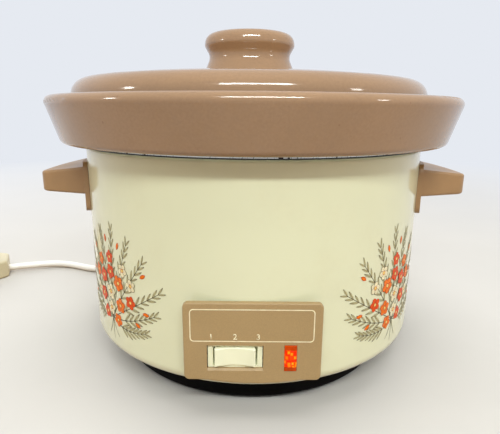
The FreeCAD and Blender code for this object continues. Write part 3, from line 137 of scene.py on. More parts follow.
# Leaves along each stem, smaller and closer to it towards its tip
LEAF_PLACES = (0.38, 0.49, 0.6, 0.71, 0.81, 0.9, 0.99)
LEAF_LENGTH = 8.4
LEAF_WIDTH = 1.9
LEAF_TIP = 0.7
LEAF_LINE = 0.17
LEAF_SPREAD = math.radians(42.0)
LEAF_CLOSING = 0.5
LEAF_LARGEST = 1.12
LEAF_SHRINKING = 0.42
LEAF_UNEVENNESS = 0.07
LEAF_SIZES = 3

# Middle, size and turn of each blossom, whose petal and eye are drawn as shares of that size
BLOSSOMS = [((-7.5, -19.5), 5.4, 30), ((7, -21), 5.2, 55), ((-20, -7), 5.0, 20),
            ((21.5, -5), 5.2, 0), ((-13.5, 15), 5.0, 5), ((15, 14), 5.2, 60),
            ((0.5, 19.5), 5.0, 25), ((-20.5, 5.5), 5.4, 40), ((22.5, 6), 5.0, 30),
            ((-11.5, -8), 5.8, 65), ((11, -10), 5.8, 20), ((-0.5, -14.5), 5.8, 12),
            ((-9.5, 5), 6.0, 35), ((10, 4.5), 6.1, 50), ((0, -3.5), 6.4, 10), ((1, 10), 5.6, 48)]
PETAL_COUNT = 5
PETAL_LENGTH = 0.86
PETAL_WIDTH = 0.74
PETAL_TIP = 0.01
PETAL_LINE = 0.04
PETAL_INKS = [("rust", "orange"), ("rust", "coral"), ("olive", "petal_cream")]
EYE_SIZE = 0.52
EYE_LINE = 0.07

# Place and turn of each bud
BUDS = [((-31, 2), 150), ((31, 13), 30), ((-23, 19), 125), ((10, 26), 68), ((-30, -13), 190),
        ((32, -9), -4), ((-4, 28), 98), ((25, -17), -25)]
BUD_LENGTH = 4.4
BUD_WIDTH = 2.4
BUD_TIP = 0.5
BUD_LINE = 0.3

# Heights of the printed layers over the casing, in millimetres, and the steps between their motifs
STEM_LAYER = 0.06
STEM_STEP = 0.002
LEAF_LAYER = 0.10
LEAF_STEP = 0.004
LEAF_SIDE_STEP = 0.001
BUD_LAYER = 0.16
BUD_STEP = 0.001
BLOSSOM_LAYER = 0.18
BLOSSOM_STEP = 0.02
PETAL_STEP = 0.002
EYE_LIFT = 0.012

# Studio, in metres
FLOOR_SIZE = 12.0
FLOOR_COLOUR = (206, 203, 198)
FLOOR_BOUNCE = (152, 125, 90)
FLOOR_FADE = (0.35, 1.4)
SURROUND_COLOUR = (230, 234, 241)
AMBIENT = 0.39
AMBIENT_TINT = (1.0, 0.985, 0.94)
STRIP_TINT = (0.95, 1.0, 0.99)
SPOT_TINT = (1.0, 0.985, 0.95)
BOX_TINT = (1.0, 1.0, 1.0)

# Lamps: place, target, width and height, watts, tint, and whether glossy surfaces mirror them
LAMPS = {
    "strip": ((0.07, -0.94, 0.90), (0, -0.12, 0.15), (0.76, 0.09), 9.6, STRIP_TINT, True),
    "left_spot": ((-1.37, -0.42, 0.60), (0, 0, 0.15), (0.16, 0.16), 1.7, SPOT_TINT, True),
    "right_spot": ((1.28, -0.63, 0.60), (0, 0, 0.15), (0.16, 0.16), 1.2, SPOT_TINT, True),
    "left": ((-1.2, 0.5, 0.42), (0, 0, 0.1), (0.9, 0.7), 4.4, BOX_TINT, False),
    "right": ((1.3, 0.0, 0.42), (0, 0, 0.1), (0.9, 0.7), 3.2, BOX_TINT, False),
    "rear_left": ((-0.95, 1.3, 0.7), (0, 0, 0.1), (1.2, 1.0), 10.0, BOX_TINT, False),
    "rear_right": ((0.95, 1.3, 0.7), (0, 0, 0.1), (1.2, 1.0), 8.0, BOX_TINT, False),
    "top": ((0.0, -0.25, 1.5), (0, 0, 0.2), (0.9, 0.9), 9.5, BOX_TINT, False),
}


# Finishes

def linear(red, green, blue):
    """Scene colour of a screen colour given from 0 to 255."""
    shares = [value / 255.0 for value in (red, green, blue)]
    return (*[v / 12.92 if v <= 0.04045 else ((v + 0.055) / 1.055) ** 2.4 for v in shares], 1.0)


class Finish:
    """A material whose shader is fed by patterns on object coordinates, in metres."""

    def __init__(self, name, **settings):
        self.material = bpy.data.materials.new(name)
        self.material.use_nodes = True
        self.tree = self.material.node_tree
        self.shader = self.tree.nodes["Principled BSDF"]
        self.place = self.add("ShaderNodeTexCoord").outputs["Object"]
        for socket, value in settings.items():
            self.shader.inputs[socket.replace("_", " ")].default_value = value

    def add(self, kind, **settings):
        """New node with its properties or input values set."""
        made = self.tree.nodes.new(kind)
        for key, value in settings.items():
            socket = key.replace("_", " ")
            if socket in made.inputs:
                made.inputs[socket].default_value = value
            else:
                setattr(made, key.lower(), value)
        return made

    def link(self, output, socket):
        """Join an output to a socket."""
        self.tree.links.new(output, socket)

    def placed(self, stretch=(1, 1, 1), centre=(0, 0, 0)):
        """Coordinates moved to a centre and stretched."""
        moved = self.add("ShaderNodeMapping", Scale=stretch,
                         Location=[-c * s for c, s in zip(centre, stretch)])
        self.link(self.place, moved.inputs["Vector"])
        return moved.outputs["Vector"]

    def noise(self, scale, detail=2.0, roughness=0.5, **where):
        """Cloudy pattern of so many waves to the metre."""
        made = self.add("ShaderNodeTexNoise", Scale=scale, Detail=detail, Roughness=roughness)
        self.link(self.placed(**where), made.inputs["Vector"])
        return made.outputs["Fac"]

    def cells(self, scale, randomness, **where):
        """Square cells, so many to the metre, as distances from their middles."""
        made = self.add("ShaderNodeTexVoronoi", Scale=scale, Randomness=randomness, Distance="CHEBYCHEV")
        self.link(self.placed(**where), made.inputs["Vector"])
        return made.outputs["Distance"]

    def ramp(self, pattern, stops):
        """Colours along a pattern, from stops of (place, colour)."""
        made = self.add("ShaderNodeValToRGB")
        elements = made.color_ramp.elements
        while len(elements) < len(stops):
            elements.new(PATTERN_MIDDLE)
        for element, (place, colour) in zip(elements, stops):
            element.position = place
            element.color = colour
        self.link(pattern, made.inputs["Fac"])
        return made.outputs["Color"]

    def spans(self, pattern, to, within=(PATTERN_LOW, PATTERN_HIGH)):
        """Pattern's values within one range, spread to another."""
        made = self.add("ShaderNodeMapRange", From_Min=within[0], From_Max=within[1],
                        To_Min=to[0], To_Max=to[1])
        self.link(pattern, made.inputs["Value"])
        return made.outputs["Result"]

    def over(self, share, under, top):
        """Colour of one layer over another, by a share from 0 to 1."""
        made = self.add("ShaderNodeMix", Data_Type="RGBA")
        self.link(share, made.inputs["Factor"])
        self.link(under, made.inputs["A"])
        self.link(top, made.inputs["B"])
        return made.outputs["Result"]

    def product(self, first, second):
        """Two shares multiplied."""
        made = self.add("ShaderNodeMath", Operation="MULTIPLY")
        self.link(first, made.inputs[0])
        self.link(second, made.inputs[1])
        return made.outputs["Value"]

    def beyond(self, near, far):
        """Share that grows from none to one between two distances from the upright axis, in metres."""
        reach = self.add("ShaderNodeVectorMath", Operation="LENGTH")
        self.link(self.placed(stretch=(1, 1, 0)), reach.inputs[0])
        return self.spans(reach.outputs["Value"], to=(0.0, 1.0), within=(near, far))

    def colour(self, output):
        """Give the shader its colour."""
        self.link(output, self.shader.inputs["Base Color"])

    def colour_so_far(self):
        """Colour that the shader already has."""
        return self.shader.inputs["Base Color"].links[0].from_socket

    def rough(self, pattern, to):
        """Give the shader a roughness that varies with a pattern."""
        self.link(self.spans(pattern, to), self.shader.inputs["Roughness"])

    def relief(self, pattern, depth, under=None):
        """Bump of a depth in millimetres, over an earlier one."""
        made = self.add("ShaderNodeBump", Distance=depth * MM, Strength=1.0)
        self.link(pattern, made.inputs["Height"])
        if under is not None:
            self.link(under, made.inputs["Normal"])
        self.link(made.outputs["Normal"], self.shader.inputs["Normal"])
        return made.outputs["Normal"]

    def wear(self, *names):
        """Put the finish on CAD nodes."""
        for name in names:
            slots = nodes[name].data.materials
            slots.clear()
            slots.append(self.material)


def shades(*colour, spread=0.06):
    """Three stops about a screen colour, for gentle variation."""
    darker = [value * (1.0 - spread) for value in colour]
    lighter = [min(255.0, value * (1.0 + spread)) for value in colour]
    return [(PATTERN_LOW, linear(*darker)), (PATTERN_MIDDLE, linear(*colour)),
            (PATTERN_HIGH, linear(*lighter))]


def plain_finish(name, colour, spread=0.03, mottle=90.0, grain=1500.0, depth=0.02,
                 roughness=(0.4, 0.5), **settings):
    """Coloured finish with cloudy shading, uneven gloss and a fine grain, its depth in millimetres."""
    finish = Finish(name, **settings)
    finish.colour(finish.ramp(finish.noise(mottle, detail=4.0), shades(*colour, spread=spread)))
    finish.rough(finish.noise(0.5 * mottle, detail=3.0), to=roughness)
    finish.relief(finish.noise(grain), depth)
    return finish


def glaze_finish():
    """Milky brown stoneware glaze, clear and wavy, clouded by the body under it."""
    finish = Finish("stoneware_glaze", Coat_Weight=0.2, Coat_Roughness=0.05, IOR=1.52)
    clouds = finish.ramp(finish.noise(16.0, detail=4.0), shades(159, 126, 92, spread=0.045))
    mottle = finish.ramp(finish.noise(700.0, detail=1.0), shades(153, 121, 91, spread=0.05))
    ground = finish.over(finish.spans(finish.noise(60.0), to=(0.2, 0.5)), clouds, mottle)
    specks = finish.spans(finish.noise(380.0, detail=0.0), to=(0.0, 0.35), within=(0.84, 0.9))
    iron = finish.ramp(finish.noise(40.0), shades(112, 78, 52))
    finish.colour(finish.over(specks, ground, iron))
    finish.rough(finish.noise(35.0), to=(0.08, 0.14))
    waves = finish.relief(finish.noise(42.0, detail=1.0), depth=0.12)
    finish.relief(finish.noise(260.0, detail=1.0), depth=0.012, under=waves)
    return finish


def enamel_finish():
    """Cream stove enamel with a faint orange-peel surface."""
    finish = Finish("casing_enamel", Coat_Weight=0.45, Coat_Roughness=0.07, IOR=1.5)
    clouds = finish.ramp(finish.noise(9.0, detail=3.0), shades(229, 231, 197, spread=0.014))
    grime = finish.ramp(finish.noise(300.0, detail=4.0), shades(221, 217, 180, spread=0.03))
    dirty = finish.spans(finish.noise(22.0, detail=5.0, roughness=0.65),
                         to=(0.0, 0.35), within=(0.52, 0.8))
    finish.colour(finish.over(dirty, clouds, grime))
    finish.rough(finish.noise(28.0), to=(0.13, 0.22))
    waves = finish.relief(finish.noise(30.0, detail=0.0), depth=0.18)
    finish.relief(finish.noise(520.0, detail=1.0), depth=0.01, under=waves)
    return finish


def panel_finish():
    """Tan satin moulding with a fine spark-eroded grain."""
    finish = Finish("panel_tan", IOR=1.5)
    clouds = finish.ramp(finish.noise(30.0, detail=3.0), shades(174, 147, 104, spread=0.025))
    speck = finish.ramp(finish.noise(2600.0, detail=1.0), shades(170, 142, 98, spread=0.07))
    finish.colour(finish.over(finish.spans(finish.noise(90.0), to=(0.3, 0.6)), clouds, speck))
    finish.rough(finish.noise(55.0), to=(0.38, 0.5))
    finish.relief(finish.noise(2300.0, detail=1.0), depth=0.022)
    return finish


def metal_finish(name, colour, roughness, stretch=(1, 1, 1)):
    """Bare metal with drawn or brushed marks."""
    finish = Finish(name, Metallic=1.0)
    marks = finish.noise(900.0, detail=3.0, stretch=stretch)
    finish.colour(finish.ramp(finish.noise(80.0, detail=4.0), shades(*colour, spread=0.05)))
    finish.rough(marks, to=roughness)
    finish.relief(marks, depth=0.012)
    return finish


def liner_finish():
    """Bright drawn aluminium with dark flecks along the outer edge of its flange."""
    finish = metal_finish("liner_aluminium", (205, 205, 200), roughness=(0.22, 0.4), stretch=(1, 1, 0.05))
    bright = finish.colour_so_far()
    dark = finish.ramp(finish.noise(500.0), shades(26, 25, 26, spread=0.2))
    # Near-black flecks from a noise pattern, only on the outer edge of the flange
    dark_flecks = finish.spans(finish.noise(210.0), to=(0.0, 1.0), within=(0.6, 0.64))
    finish.colour(finish.over(finish.product(dark_flecks, finish.beyond(*FLANGE_FLECK_REACH)), bright, dark))
    return finish


def lens_finish():
    """Orange neon lens: a clear tint with bright broken facets round the lamp inside."""
    low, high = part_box("neon_lens")
    centre = (low + high) / 2.0
    finish = Finish("neon_orange", IOR=1.49, Specular_IOR_Level=0.1, Emission_Strength=0.42)
    facets = finish.cells(430.0, randomness=0.75, centre=centre, stretch=(1.0, 0.2, 0.8))
    glow = finish.ramp(facets, [(0.1, linear(255, 158, 22)), (0.3, linear(250, 86, 4)),
                                (0.46, linear(222, 40, 2))])
    body = finish.ramp(finish.noise(200.0), shades(172, 58, 3, spread=0.08))
    height = finish.add("ShaderNodeSeparateXYZ")
    finish.link(finish.placed(centre=centre), height.inputs["Vector"])
    distance = finish.add("ShaderNodeMath", Operation="ABSOLUTE")
    finish.link(height.outputs["Z"], distance.inputs[0])
    window = 0.5 * (high.z - low.z) - LENS_END * MM
    blur = LENS_BLUR * MM
    inside = finish.spans(distance.outputs["Value"], to=(1.0, 0.0), within=(window - blur, window + blur))
    lit = finish.over(inside, body, glow)
    finish.colour(lit)
    finish.link(lit, finish.shader.inputs["Emission Color"])
    finish.rough(finish.noise(150.0), to=(0.12, 0.2))
    finish.relief(facets, depth=0.4)
    return finish


def cord_finish():
    """White PVC, grubby in places."""
    finish = Finish("cord_white", IOR=1.5)
    clouds = finish.ramp(finish.noise(45.0, detail=4.0), shades(252, 251, 247, spread=0.01))
    grime = finish.ramp(finish.noise(400.0), shades(218, 213, 200, spread=0.05))
    dirty = finish.spans(finish.noise(70.0, detail=5.0), to=(0.0, 0.4), within=(0.5, 0.8))
    finish.colour(finish.over(dirty, clouds, grime))
    finish.rough(finish.noise(60.0), to=(0.32, 0.45))
    finish.relief(finish.noise(700.0), depth=0.02)
    return finish


def dress_nodes():
    """Give each carried-over CAD node its finish."""
    glaze_finish().wear("crock", "lid")
    enamel_finish().wear("outer_casing")
    panel_finish().wear("control_panel")
    plain_finish("handle_phenolic", (160, 125, 86), spread=0.035, mottle=60.0, grain=1800.0,
                 roughness=(0.3, 0.42), IOR=1.55).wear("left_handle", "right_handle")
    plain_finish("switch_cream", (249, 251, 220), spread=0.006, mottle=70.0, depth=0.01,
                 roughness=(0.42, 0.48), IOR=1.5).wear("switch_bezel", "rocker")
    lens_finish().wear("neon_lens")
    # Black base is its own colour and partly painted shade: dark and barely glossy so the band under the
    # casing reads like deep shadow
    plain_finish("base_black", (6, 5, 5), spread=0.1, mottle=80.0, grain=1400.0, depth=0.04,
                 roughness=(0.6, 0.75), Specular_IOR_Level=0.06).wear("base_moulding")
    feet = [name for name in nodes if name.startswith("foot_") and name != "foot_screws"]
    plain_finish("foot_rubber", (30, 29, 28), spread=0.12, mottle=200.0, grain=2200.0, depth=0.05,
                 roughness=(0.7, 0.85)).wear(*feet)
    liner_finish().wear("inner_liner")
    metal_finish("zinc_steel", (176, 178, 176), roughness=(0.28, 0.45)).wear(
        "element_strap", "strap_screw", "handle_screws", "panel_screws", "foot_screws", "centre_stud",
        "centre_nut", "thermostat", "thermostat_studs", "earth_tag", "neon_clip", "rocker_pivot",
        "plug_screw")
    metal_finish("brass", (196, 160, 92), roughness=(0.22, 0.38), stretch=(1, 1, 0.1)).wear(
        "plug_pins", "switch_blades", "terminal_screws")
    plain_finish("mica", (158, 138, 107), spread=0.15, mottle=120.0, grain=700.0, depth=0.1,
                 roughness=(0.3, 0.6)).wear("heating_element")
    plain_finish("switch_black", (34, 33, 33), spread=0.1).wear("switch_body")
    plain_finish("lamp_glass", (236, 208, 178), spread=0.05, grain=400.0, roughness=(0.05, 0.12),
                 Transmission_Weight=0.6).wear("neon_lamp")
    plain_finish("block_white", (228, 226, 216)).wear("terminal_block")
    for name, colour, wire in (("wire_brown", (112, 70, 42), "live_wire"),
                               ("wire_blue", (44, 96, 160), "neutral_wire"),
                               ("wire_earth", (94, 150, 62), "earth_wire")):
        plain_finish(name, colour, spread=0.06, grain=900.0, depth=0.01).wear(wire)
    plain_finish("wire_white", (226, 224, 216), spread=0.04, grain=900.0, depth=0.01,
                 roughness=(0.45, 0.55)).wear("lead_cores", "element_leads")
    plain_finish("gland_white", (226, 224, 216), mottle=60.0, grain=1200.0, depth=0.03,
                 roughness=(0.42, 0.55)).wear("cord_gland")
    plain_finish("plug_cream", (214, 204, 172), spread=0.025, mottle=50.0, grain=1600.0, depth=0.03,
                 roughness=(0.34, 0.46)).wear("plug_cover", "plug_base")
    plain_finish("tie_white", (232, 232, 228), grain=800.0, depth=0.03,
                 roughness=(0.5, 0.6)).wear("coil_tie")


# Mains lead

def coil_point(turns):
    """Middle of the cord at a count of turns: in along the lower layer, out along the upper one."""
    middle = 0.5 * COIL_TURNS
    radius = COIL_RADIUS - COIL_PITCH * (middle - abs(turns - middle))
    climb = min(max((turns - middle) / COIL_CLIMB_TURNS + 0.5, 0.0), 1.0)
    level = COIL_LAY + COIL_LAYER * climb * climb * (3.0 - 2.0 * climb)
    angle = 2.0 * math.pi * turns
    return (COIL_CENTRE[0] + radius * math.cos(angle), COIL_CENTRE[1] + radius * math.sin(angle), level)


def mains_lead():
    """White PVC lead on one smooth line from the gland, through the tied coil, to the plug."""
    steps = round(COIL_TURNS * COIL_POINTS_PER_TURN)
    coil = [coil_point(i / COIL_POINTS_PER_TURN) for i in range(steps + 1)]
    points = [Vector(point) * MM for point in LEAD_POINTS + coil + TAIL_POINTS]
    curve = bpy.data.curves.new("mains_lead", "CURVE")
    curve.dimensions = "3D"
    spline = curve.splines.new("NURBS")
    spline.points.add(len(points) - 1)
    for control, point in zip(spline.points, points):
        control.co = (*point, 1.0)
    spline.order_u = 3
    spline.use_endpoint_u = True
    spline.resolution_u = CORD_STEPS
    curve.bevel_depth = 0.5 * CORD_DIAMETER * MM
    curve.bevel_resolution = CORD_ROUNDNESS
    curve.use_fill_caps = True
    lead = bpy.data.objects.new("mains_lead", curve)
    bpy.context.scene.collection.objects.link(lead)
    curve.materials.append(cord_finish().material)
    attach(lead, "cooker")
    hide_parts("cord_lead", "cord_coil", "cord_tail")


# Pieces made one by one

def alone():
    """Leave nothing selected, so that an operator acts on the next piece only."""
    bpy.ops.object.select_all(action="DESELECT")


def finished(piece, kind, **settings):
    """Add a modifier to a piece and apply it."""
    alone()
    piece.select_set(True)
    bpy.context.view_layer.objects.active = piece
    bpy.ops.object.modifier_add(type=kind)
    modifier = piece.modifiers[-1]
    for key, value in settings.items():
        setattr(modifier, key, value)
    bpy.ops.object.modifier_apply(modifier=modifier.name)


def thickened(piece, thickness):
    """Give a skin its thickness, inwards from its face."""
    finished(piece, "SOLIDIFY", thickness=thickness * MM, offset=-1.0)


def flange_shadow_ring():
    """Dark ring round the lower edge of the liner's flange over the casing's lip, painted shade that
    stands in for the shadow gap under the flange.
    """
    alone()
    bpy.ops.mesh.primitive_cylinder_add(vertices=SHADOW_RING_SIDES, radius=SHADOW_RING_RADIUS * MM,
                                        depth=(SHADOW_RING_HIGH - SHADOW_RING_LOW) * MM,
                                        end_fill_type="NOTHING", location=(0, 0, 0))
    shadow_ring = bpy.context.object
    shadow_ring.name = "flange_shadow_ring"
    bpy.ops.object.mode_set(mode="EDIT")
    bpy.ops.transform.translate(value=(0, 0, 0.5 * (SHADOW_RING_LOW + SHADOW_RING_HIGH) * MM))
    bpy.ops.object.mode_set(mode="OBJECT")
    thickened(shadow_ring, SHADOW_RING_WIDTH)
    finished(shadow_ring, "BEVEL", width=SHADOW_RING_ROUND * MM, segments=SHADOW_RING_ROUND_STEPS)
    bpy.ops.object.shade_smooth_by_angle(angle=SHADOW_RING_SMOOTH_ANGLE)
    # Its near-black colour is painted shadow for the gap under the flange
    shadow_paint = plain_finish("painted_shadow_dark", (34, 36, 40), spread=0.3, grain=900.0, depth=0.04,
                        roughness=(0.5, 0.7))
    shadow_ring.data.materials.append(shadow_paint.material)
    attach(shadow_ring, "cooker")


# Printed marks

def pick(piece, test):
    """Select the points of a mesh in edit mode whose place, in millimetres, passes a test."""
    bpy.ops.mesh.select_all(action="DESELECT")
    mesh = bmesh.from_edit_mesh(piece.data)
    for point in mesh.verts:
        point.select_set(test(point.co / MM))
    mesh.select_flush(True)
    bmesh.update_edit_mesh(piece.data)


def ink(name, colour):
    """Matt printing ink, a little uneven in tone."""
    return plain_finish("ink_" + name, colour, spread=0.06, mottle=260.0, grain=2400.0, depth=0.004,
                        roughness=(0.36, 0.48), Specular_IOR_Level=0.25).material


def inked_oval(name, length, width, tip, line, inks, veined=False):
    """Flat pointed oval along X from the origin, in an outline and a fill, a leaf with a vein as well."""
    alone()
    bpy.ops.mesh.primitive_circle_add(vertices=OVAL_SIDES, radius=0.5 * MM, fill_type="NGON",
                                      location=(0, 0, 0))
    piece = bpy.context.object
    piece.name = name
    for material in inks:
        piece.data.materials.append(material)
    bpy.ops.object.mode_set(mode="EDIT")
    bpy.ops.transform.resize(value=(length, width, 1.0), center_override=(0, 0, 0))
    for side in (-1.0, 1.0):
        pick(piece, lambda place: place.x * side > OVAL_TIP_SHARE * length)
        bpy.ops.transform.translate(value=(side * tip * MM, 0, 0))
    bpy.ops.mesh.select_all(action="SELECT")
    bpy.ops.transform.translate(value=((0.5 * length + tip) * MM, 0, 0))
    if veined:
        bpy.ops.mesh.bisect(plane_co=(0, 0, 0), plane_no=(0, 1, 0))
        bpy.ops.mesh.select_all(action="SELECT")
    bpy.ops.mesh.inset(thickness=line * MM, depth=0.0, use_individual=True)
    piece.active_material_index = 1
    bpy.ops.object.material_slot_assign()
    bpy.ops.object.mode_set(mode="OBJECT")
    return piece


def print_copy(master, place, turn=0.0, scale=1.0, layer=0.0):
    """Copy of a flat motif with its own mesh, turned and moved within the drawing."""
    copy = master.copy()
    copy.data = master.data.copy()
    bpy.context.scene.collection.objects.link(copy)
    copy.data.transform(Matrix.Translation((place[0] * MM, place[1] * MM, layer * MM))
                        @ Matrix.Rotation(turn, 4, "Z") @ Matrix.Scale(scale, 4))
    return copy


def joined(pieces, name):
    """One piece from several."""
    alone()
    for piece in pieces:
        piece.select_set(True)
    bpy.context.view_layer.objects.active = pieces[0]
    bpy.ops.object.join()
    pieces[0].name = name
    return pieces[0]


def discard(*pieces):
    """Remove masters that have been copied."""
    for piece in pieces:
        bpy.data.objects.remove(piece)


def stem_at(foot, bend, end, share):
    """Place and heading on a stem that bows from its foot towards an end."""
    places = [Vector(foot), Vector(bend), Vector(end)]
    first = places[0].lerp(places[1], share)
    second = places[1].lerp(places[2], share)
    heading = second - first
    return first.lerp(second, share), math.atan2(heading.y, heading.x)


def drawn_stem(bend, end, material, layer):
    """Thin flat stroke along a bowed stem."""
    alone()
    bpy.ops.curve.primitive_bezier_curve_add(location=(0, 0, 0))
    stroke = bpy.context.object
    start, stop = stroke.data.splines[0].bezier_points
    foot, middle, tip = (Vector((*place, 0)) * MM for place in (POSY_FOOT, bend, end))
    for control, place, before, after in ((start, foot, foot, foot.lerp(middle, STEM_HANDLE_SHARE)),
                                          (stop, tip, tip.lerp(middle, STEM_HANDLE_SHARE), tip)):
        control.handle_left_type = "FREE"
        control.handle_right_type = "FREE"
        control.co = place
        control.handle_left = before
        control.handle_right = after
    start.radius = 1.0
    stop.radius = STEM_TAPER
    stroke.data.resolution_u = STEM_STEPS
    stroke.data.bevel_depth = STEM_RADIUS * MM
    stroke.data.bevel_resolution = 1
    stroke.data.use_fill_caps = True
    bpy.ops.object.convert(target="MESH")
    bpy.ops.object.mode_set(mode="EDIT")
    bpy.ops.mesh.select_all(action="SELECT")
    bpy.ops.transform.resize(value=(1.0, 1.0, STEM_FLATNESS), center_override=(0, 0, 0))
    bpy.ops.transform.translate(value=(0, 0, layer * MM))
    bpy.ops.object.mode_set(mode="OBJECT")
    stroke.data.materials.append(material)
    return stroke


def wrapped(piece, side):
    """Lay a flat drawing round the casing, on its left or mirrored on its right."""
    for point in piece.data.vertices:
        across, up, lift = point.co / MM
        turn = side * (POSY_TURN - across / CASING_RADIUS)
        radius = CASING_RADIUS + lift
        point.co = Vector((radius * math.sin(turn), -radius * math.cos(turn), POSY_LEVEL + up)) * MM
    if side > 0:
        piece.data.flip_normals()
    return piece


def blossom(petal, eye, place, size, turn, layer):
    """Ring of petals, each over the one before, and their eye."""
    pieces = []
    for count in range(PETAL_COUNT):
        heading = math.radians(turn + 360.0 / PETAL_COUNT * count)
        pieces.append(print_copy(petal, place, heading, size, layer + PETAL_STEP * count))
    eye_start = Vector(place) - Vector((0.5 * EYE_SIZE * size, 0))
    pieces.append(print_copy(eye, eye_start, 0.0, size, layer + EYE_LIFT))
    return pieces


def leafy_stem(leaf, bend, end, layer):
    """Pairs of leaves along the outer part of a stem."""
    pieces = []
    for count, share in enumerate(LEAF_PLACES):
        place, heading = stem_at(POSY_FOOT, bend, end, share)
        for side in (-1.0, 1.0):
            turn = heading + side * LEAF_SPREAD * (1.0 - LEAF_CLOSING * share)
            unevenness = LEAF_UNEVENNESS * ((count + side) % LEAF_SIZES)
            size = (LEAF_LARGEST - LEAF_SHRINKING * share) * (1.0 - unevenness)
            pieces.append(print_copy(leaf, place, turn, size, layer + side * LEAF_SIDE_STEP))
    return pieces


def posy_drawing(inks):
    """Flat drawing of the leaves, buds and blossoms, cut in strips that can bend round the casing."""
    leaf = inked_oval("leaf", LEAF_LENGTH, LEAF_WIDTH, LEAF_TIP, LEAF_LINE,
                      (inks["olive"], inks["sage"]), veined=True)
    bud = inked_oval("bud", BUD_LENGTH, BUD_WIDTH, BUD_TIP, BUD_LINE, (inks["rust"], inks["coral"]))
    petals = [inked_oval("petal", PETAL_LENGTH, PETAL_WIDTH, PETAL_TIP, PETAL_LINE,
                         (inks[outline], inks[fill])) for outline, fill in PETAL_INKS]
    eye = inked_oval("eye", EYE_SIZE, EYE_SIZE, 0.0, EYE_LINE, (inks["rust"], inks["straw"]))
    motifs = []
    for count, (bend, end) in enumerate(STEMS):
        motifs += leafy_stem(leaf, bend, end, LEAF_LAYER + LEAF_STEP * count)
    for count, (place, turn) in enumerate(BUDS):
        motifs.append(print_copy(bud, place, math.radians(turn), layer=BUD_LAYER + BUD_STEP * count))
    for count, (place, size, turn) in enumerate(BLOSSOMS):
        petal = petals[count % len(petals)]
        motifs += blossom(petal, eye, place, size, turn, BLOSSOM_LAYER + BLOSSOM_STEP * count)
    drawing = joined(motifs, "posy")
    bpy.ops.object.mode_set(mode="EDIT")
    for strip in range(-POSY_STRIPS_EACH_WAY, POSY_STRIPS_EACH_WAY + 1):
        bpy.ops.mesh.select_all(action="SELECT")
        bpy.ops.mesh.bisect(plane_co=(strip * POSY_STRIP * MM, 0, 0), plane_no=(1, 0, 0))
    bpy.ops.object.mode_set(mode="OBJECT")
    discard(leaf, bud, eye, *petals)
    return drawing


def casing_posies():
    """Five-petalled blossoms in a posy of leafy stems and buds, printed on each side of the casing."""
    inks = {name: ink(name, colour) for name, colour in POSY_INKS.items()}
    drawing = posy_drawing(inks)
    stalks = joined([drawn_stem(bend, end, inks["olive"], STEM_LAYER + STEM_STEP * count)
                     for count, (bend, end) in enumerate(STEMS + STALKS)], "posy_stems")
    for name, side in (("left_posy", -1.0), ("right_posy", 1.0)):
        face = wrapped(print_copy(drawing, (0, 0)), side)
        thickened(face, INK_THICKNESS)
        stems = wrapped(print_copy(stalks, (0, 0)), side)
        posy = joined([face, stems], name)
        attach(posy, "cooker")
    discard(drawing, stalks)


def standing(piece, x, z):
    """Stand a flat print up against the face of the control panel."""
    face = Matrix.Translation((x * MM, (PANEL_FACE - INK_LIFT - INK_THICKNESS) * MM, z * MM))
    piece.data.transform(face @ Matrix.Rotation(math.radians(90.0), 4, "X"))
    thickened(piece, INK_THICKNESS)
    return piece


def panel_print():
    """Rounded cream line round the upper panel, and plain numerals over the switch."""
    cream = ink("cream", PANEL_INK)
    width, height = (high - low for low, high in zip(FRAME_LOW, FRAME_HIGH))
    alone()
    bpy.ops.mesh.primitive_plane_add(size=MM, location=(0, 0, 0))
    line = bpy.context.object
    bpy.ops.object.mode_set(mode="EDIT")
    bpy.ops.transform.resize(value=(width, height, 1.0), center_override=(0, 0, 0))
    bpy.ops.mesh.bevel(offset=FRAME_CORNER * MM, segments=FRAME_CORNER_STEPS, affect="VERTICES",
                       offset_type="OFFSET")
    bpy.ops.mesh.select_all(action="SELECT")
    bpy.ops.mesh.inset(thickness=FRAME_LINE * MM, depth=0.0)
    bpy.ops.mesh.delete(type="FACE")
    bpy.ops.object.mode_set(mode="OBJECT")
    line.data.materials.append(cream)
    middle = [0.5 * (low + high) for low, high in zip(FRAME_LOW, FRAME_HIGH)]
    pieces = [standing(line, *middle)]
    for text, place in NUMERAL_PLACES.items():
        alone()
        bpy.ops.object.text_add(location=(0, 0, 0))
        numeral = bpy.context.object
        numeral.data.body = text
        numeral.data.align_x = "CENTER"
        numeral.data.size = NUMERAL_HEIGHT / NUMERAL_SHARE_OF_SIZE * MM
        numeral.data.offset = NUMERAL_WEIGHT * MM
        numeral.data.materials.append(cream)
        bpy.ops.object.convert(target="MESH")
        pieces.append(standing(numeral, place, NUMERAL_LEVEL))
    printed = joined(pieces, "panel_print")
    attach(printed, "cooker")


# Studio

def camera():
    """Camera where the photograph was taken from."""
    made = bpy.data.objects.new("camera", bpy.data.cameras.new("camera"))
    bpy.context.scene.collection.objects.link(made)
    made.data.sensor_width = SENSOR_WIDTH
    made.data.lens = FOCAL_PIXELS / IMAGE_WIDTH * SENSOR_WIDTH
    made.data.clip_start = CAMERA_NEAR
    made.location = CAMERA_PLACE
    made.rotation_mode = "ZYX"
    made.rotation_euler = (CAMERA_PITCH, 0.0, CAMERA_ROLL)
    bpy.context.scene.camera = made


def soft_lamp(name, place, target, size, power, tint, mirrored):
    """Rectangular soft box aimed at a point, which glossy surfaces may show."""
    data = bpy.data.lights.new(name, "AREA")
    data.shape = "RECTANGLE"
    data.size, data.size_y = size
    data.energy = power
    data.color = tint
    lamp = bpy.data.objects.new(name, data)
    bpy.context.scene.collection.objects.link(lamp)
    lamp.location = place
    aim = Vector(target) - Vector(place)
    lamp.rotation_mode = "QUATERNION"
    lamp.rotation_quaternion = aim.to_track_quat("-Z", "Y")
    lamp.visible_glossy = mirrored


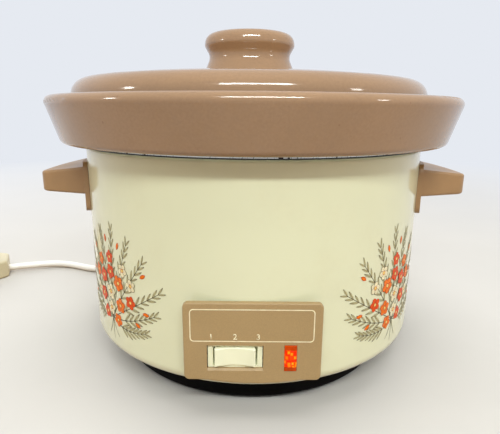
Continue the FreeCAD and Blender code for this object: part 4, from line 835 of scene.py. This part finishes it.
def seen(tree):
    """One for a ray from the camera, a mirror or glass, and none for the light on the object."""
    path = tree.nodes.new("ShaderNodeLightPath")
    total = path.outputs["Is Camera Ray"]
    for kind in ("Is Glossy Ray", "Is Transmission Ray"):
        either = tree.nodes.new("ShaderNodeMath")
        either.operation = "MAXIMUM"
        tree.links.new(total, either.inputs[0])
        tree.links.new(path.outputs[kind], either.inputs[1])
        total = either.outputs["Value"]
    return total


def pale_floor():
    """Plain pale floor that runs into the surround far behind the object."""
    alone()
    bpy.ops.mesh.primitive_plane_add(size=FLOOR_SIZE, location=(0, 0, 0))
    floor = bpy.context.object
    floor.name = "floor"
    finish = plain_finish("floor_pale", FLOOR_COLOUR, spread=0.012, mottle=6.0, grain=900.0, depth=0.05,
                          roughness=(0.6, 0.75))
    shown = seen(finish.tree)
    pale = finish.colour_so_far()
    bounce = finish.ramp(finish.noise(3.0), shades(*FLOOR_BOUNCE, spread=0.01))
    finish.colour(finish.over(shown, bounce, pale))
    glow = finish.add("ShaderNodeEmission", Color=linear(*SURROUND_COLOUR), Strength=1.0)
    both = finish.add("ShaderNodeMixShader")
    finish.link(finish.product(finish.beyond(*FLOOR_FADE), shown), both.inputs[0])
    finish.link(finish.shader.outputs["BSDF"], both.inputs[1])
    finish.link(glow.outputs["Emission"], both.inputs[2])
    finish.link(both.outputs["Shader"], finish.tree.nodes["Material Output"].inputs["Surface"])
    floor.data.materials.append(finish.material)


def studio():
    """Even warm light from all round, a long strip in front, two spots and soft boxes."""
    world = bpy.data.worlds.new("studio")
    bpy.context.scene.world = world
    world.use_nodes = True
    tree = world.node_tree
    light = tree.nodes["Background"]
    light.inputs["Color"].default_value = (*AMBIENT_TINT, 1.0)
    light.inputs["Strength"].default_value = AMBIENT
    shown = tree.nodes.new("ShaderNodeBackground")
    shown.inputs["Color"].default_value = linear(*SURROUND_COLOUR)
    either = tree.nodes.new("ShaderNodeMixShader")
    tree.links.new(seen(tree), either.inputs[0])
    tree.links.new(light.outputs["Background"], either.inputs[1])
    tree.links.new(shown.outputs["Background"], either.inputs[2])
    tree.links.new(either.outputs["Shader"], tree.nodes["World Output"].inputs["Surface"])
    for name, settings in LAMPS.items():
        soft_lamp(name, *settings)
    bpy.context.scene.view_settings.view_transform = "Standard"


camera()
mains_lead()
dress_nodes()
flange_shadow_ring()
panel_print()
casing_posies()
pale_floor()
studio()
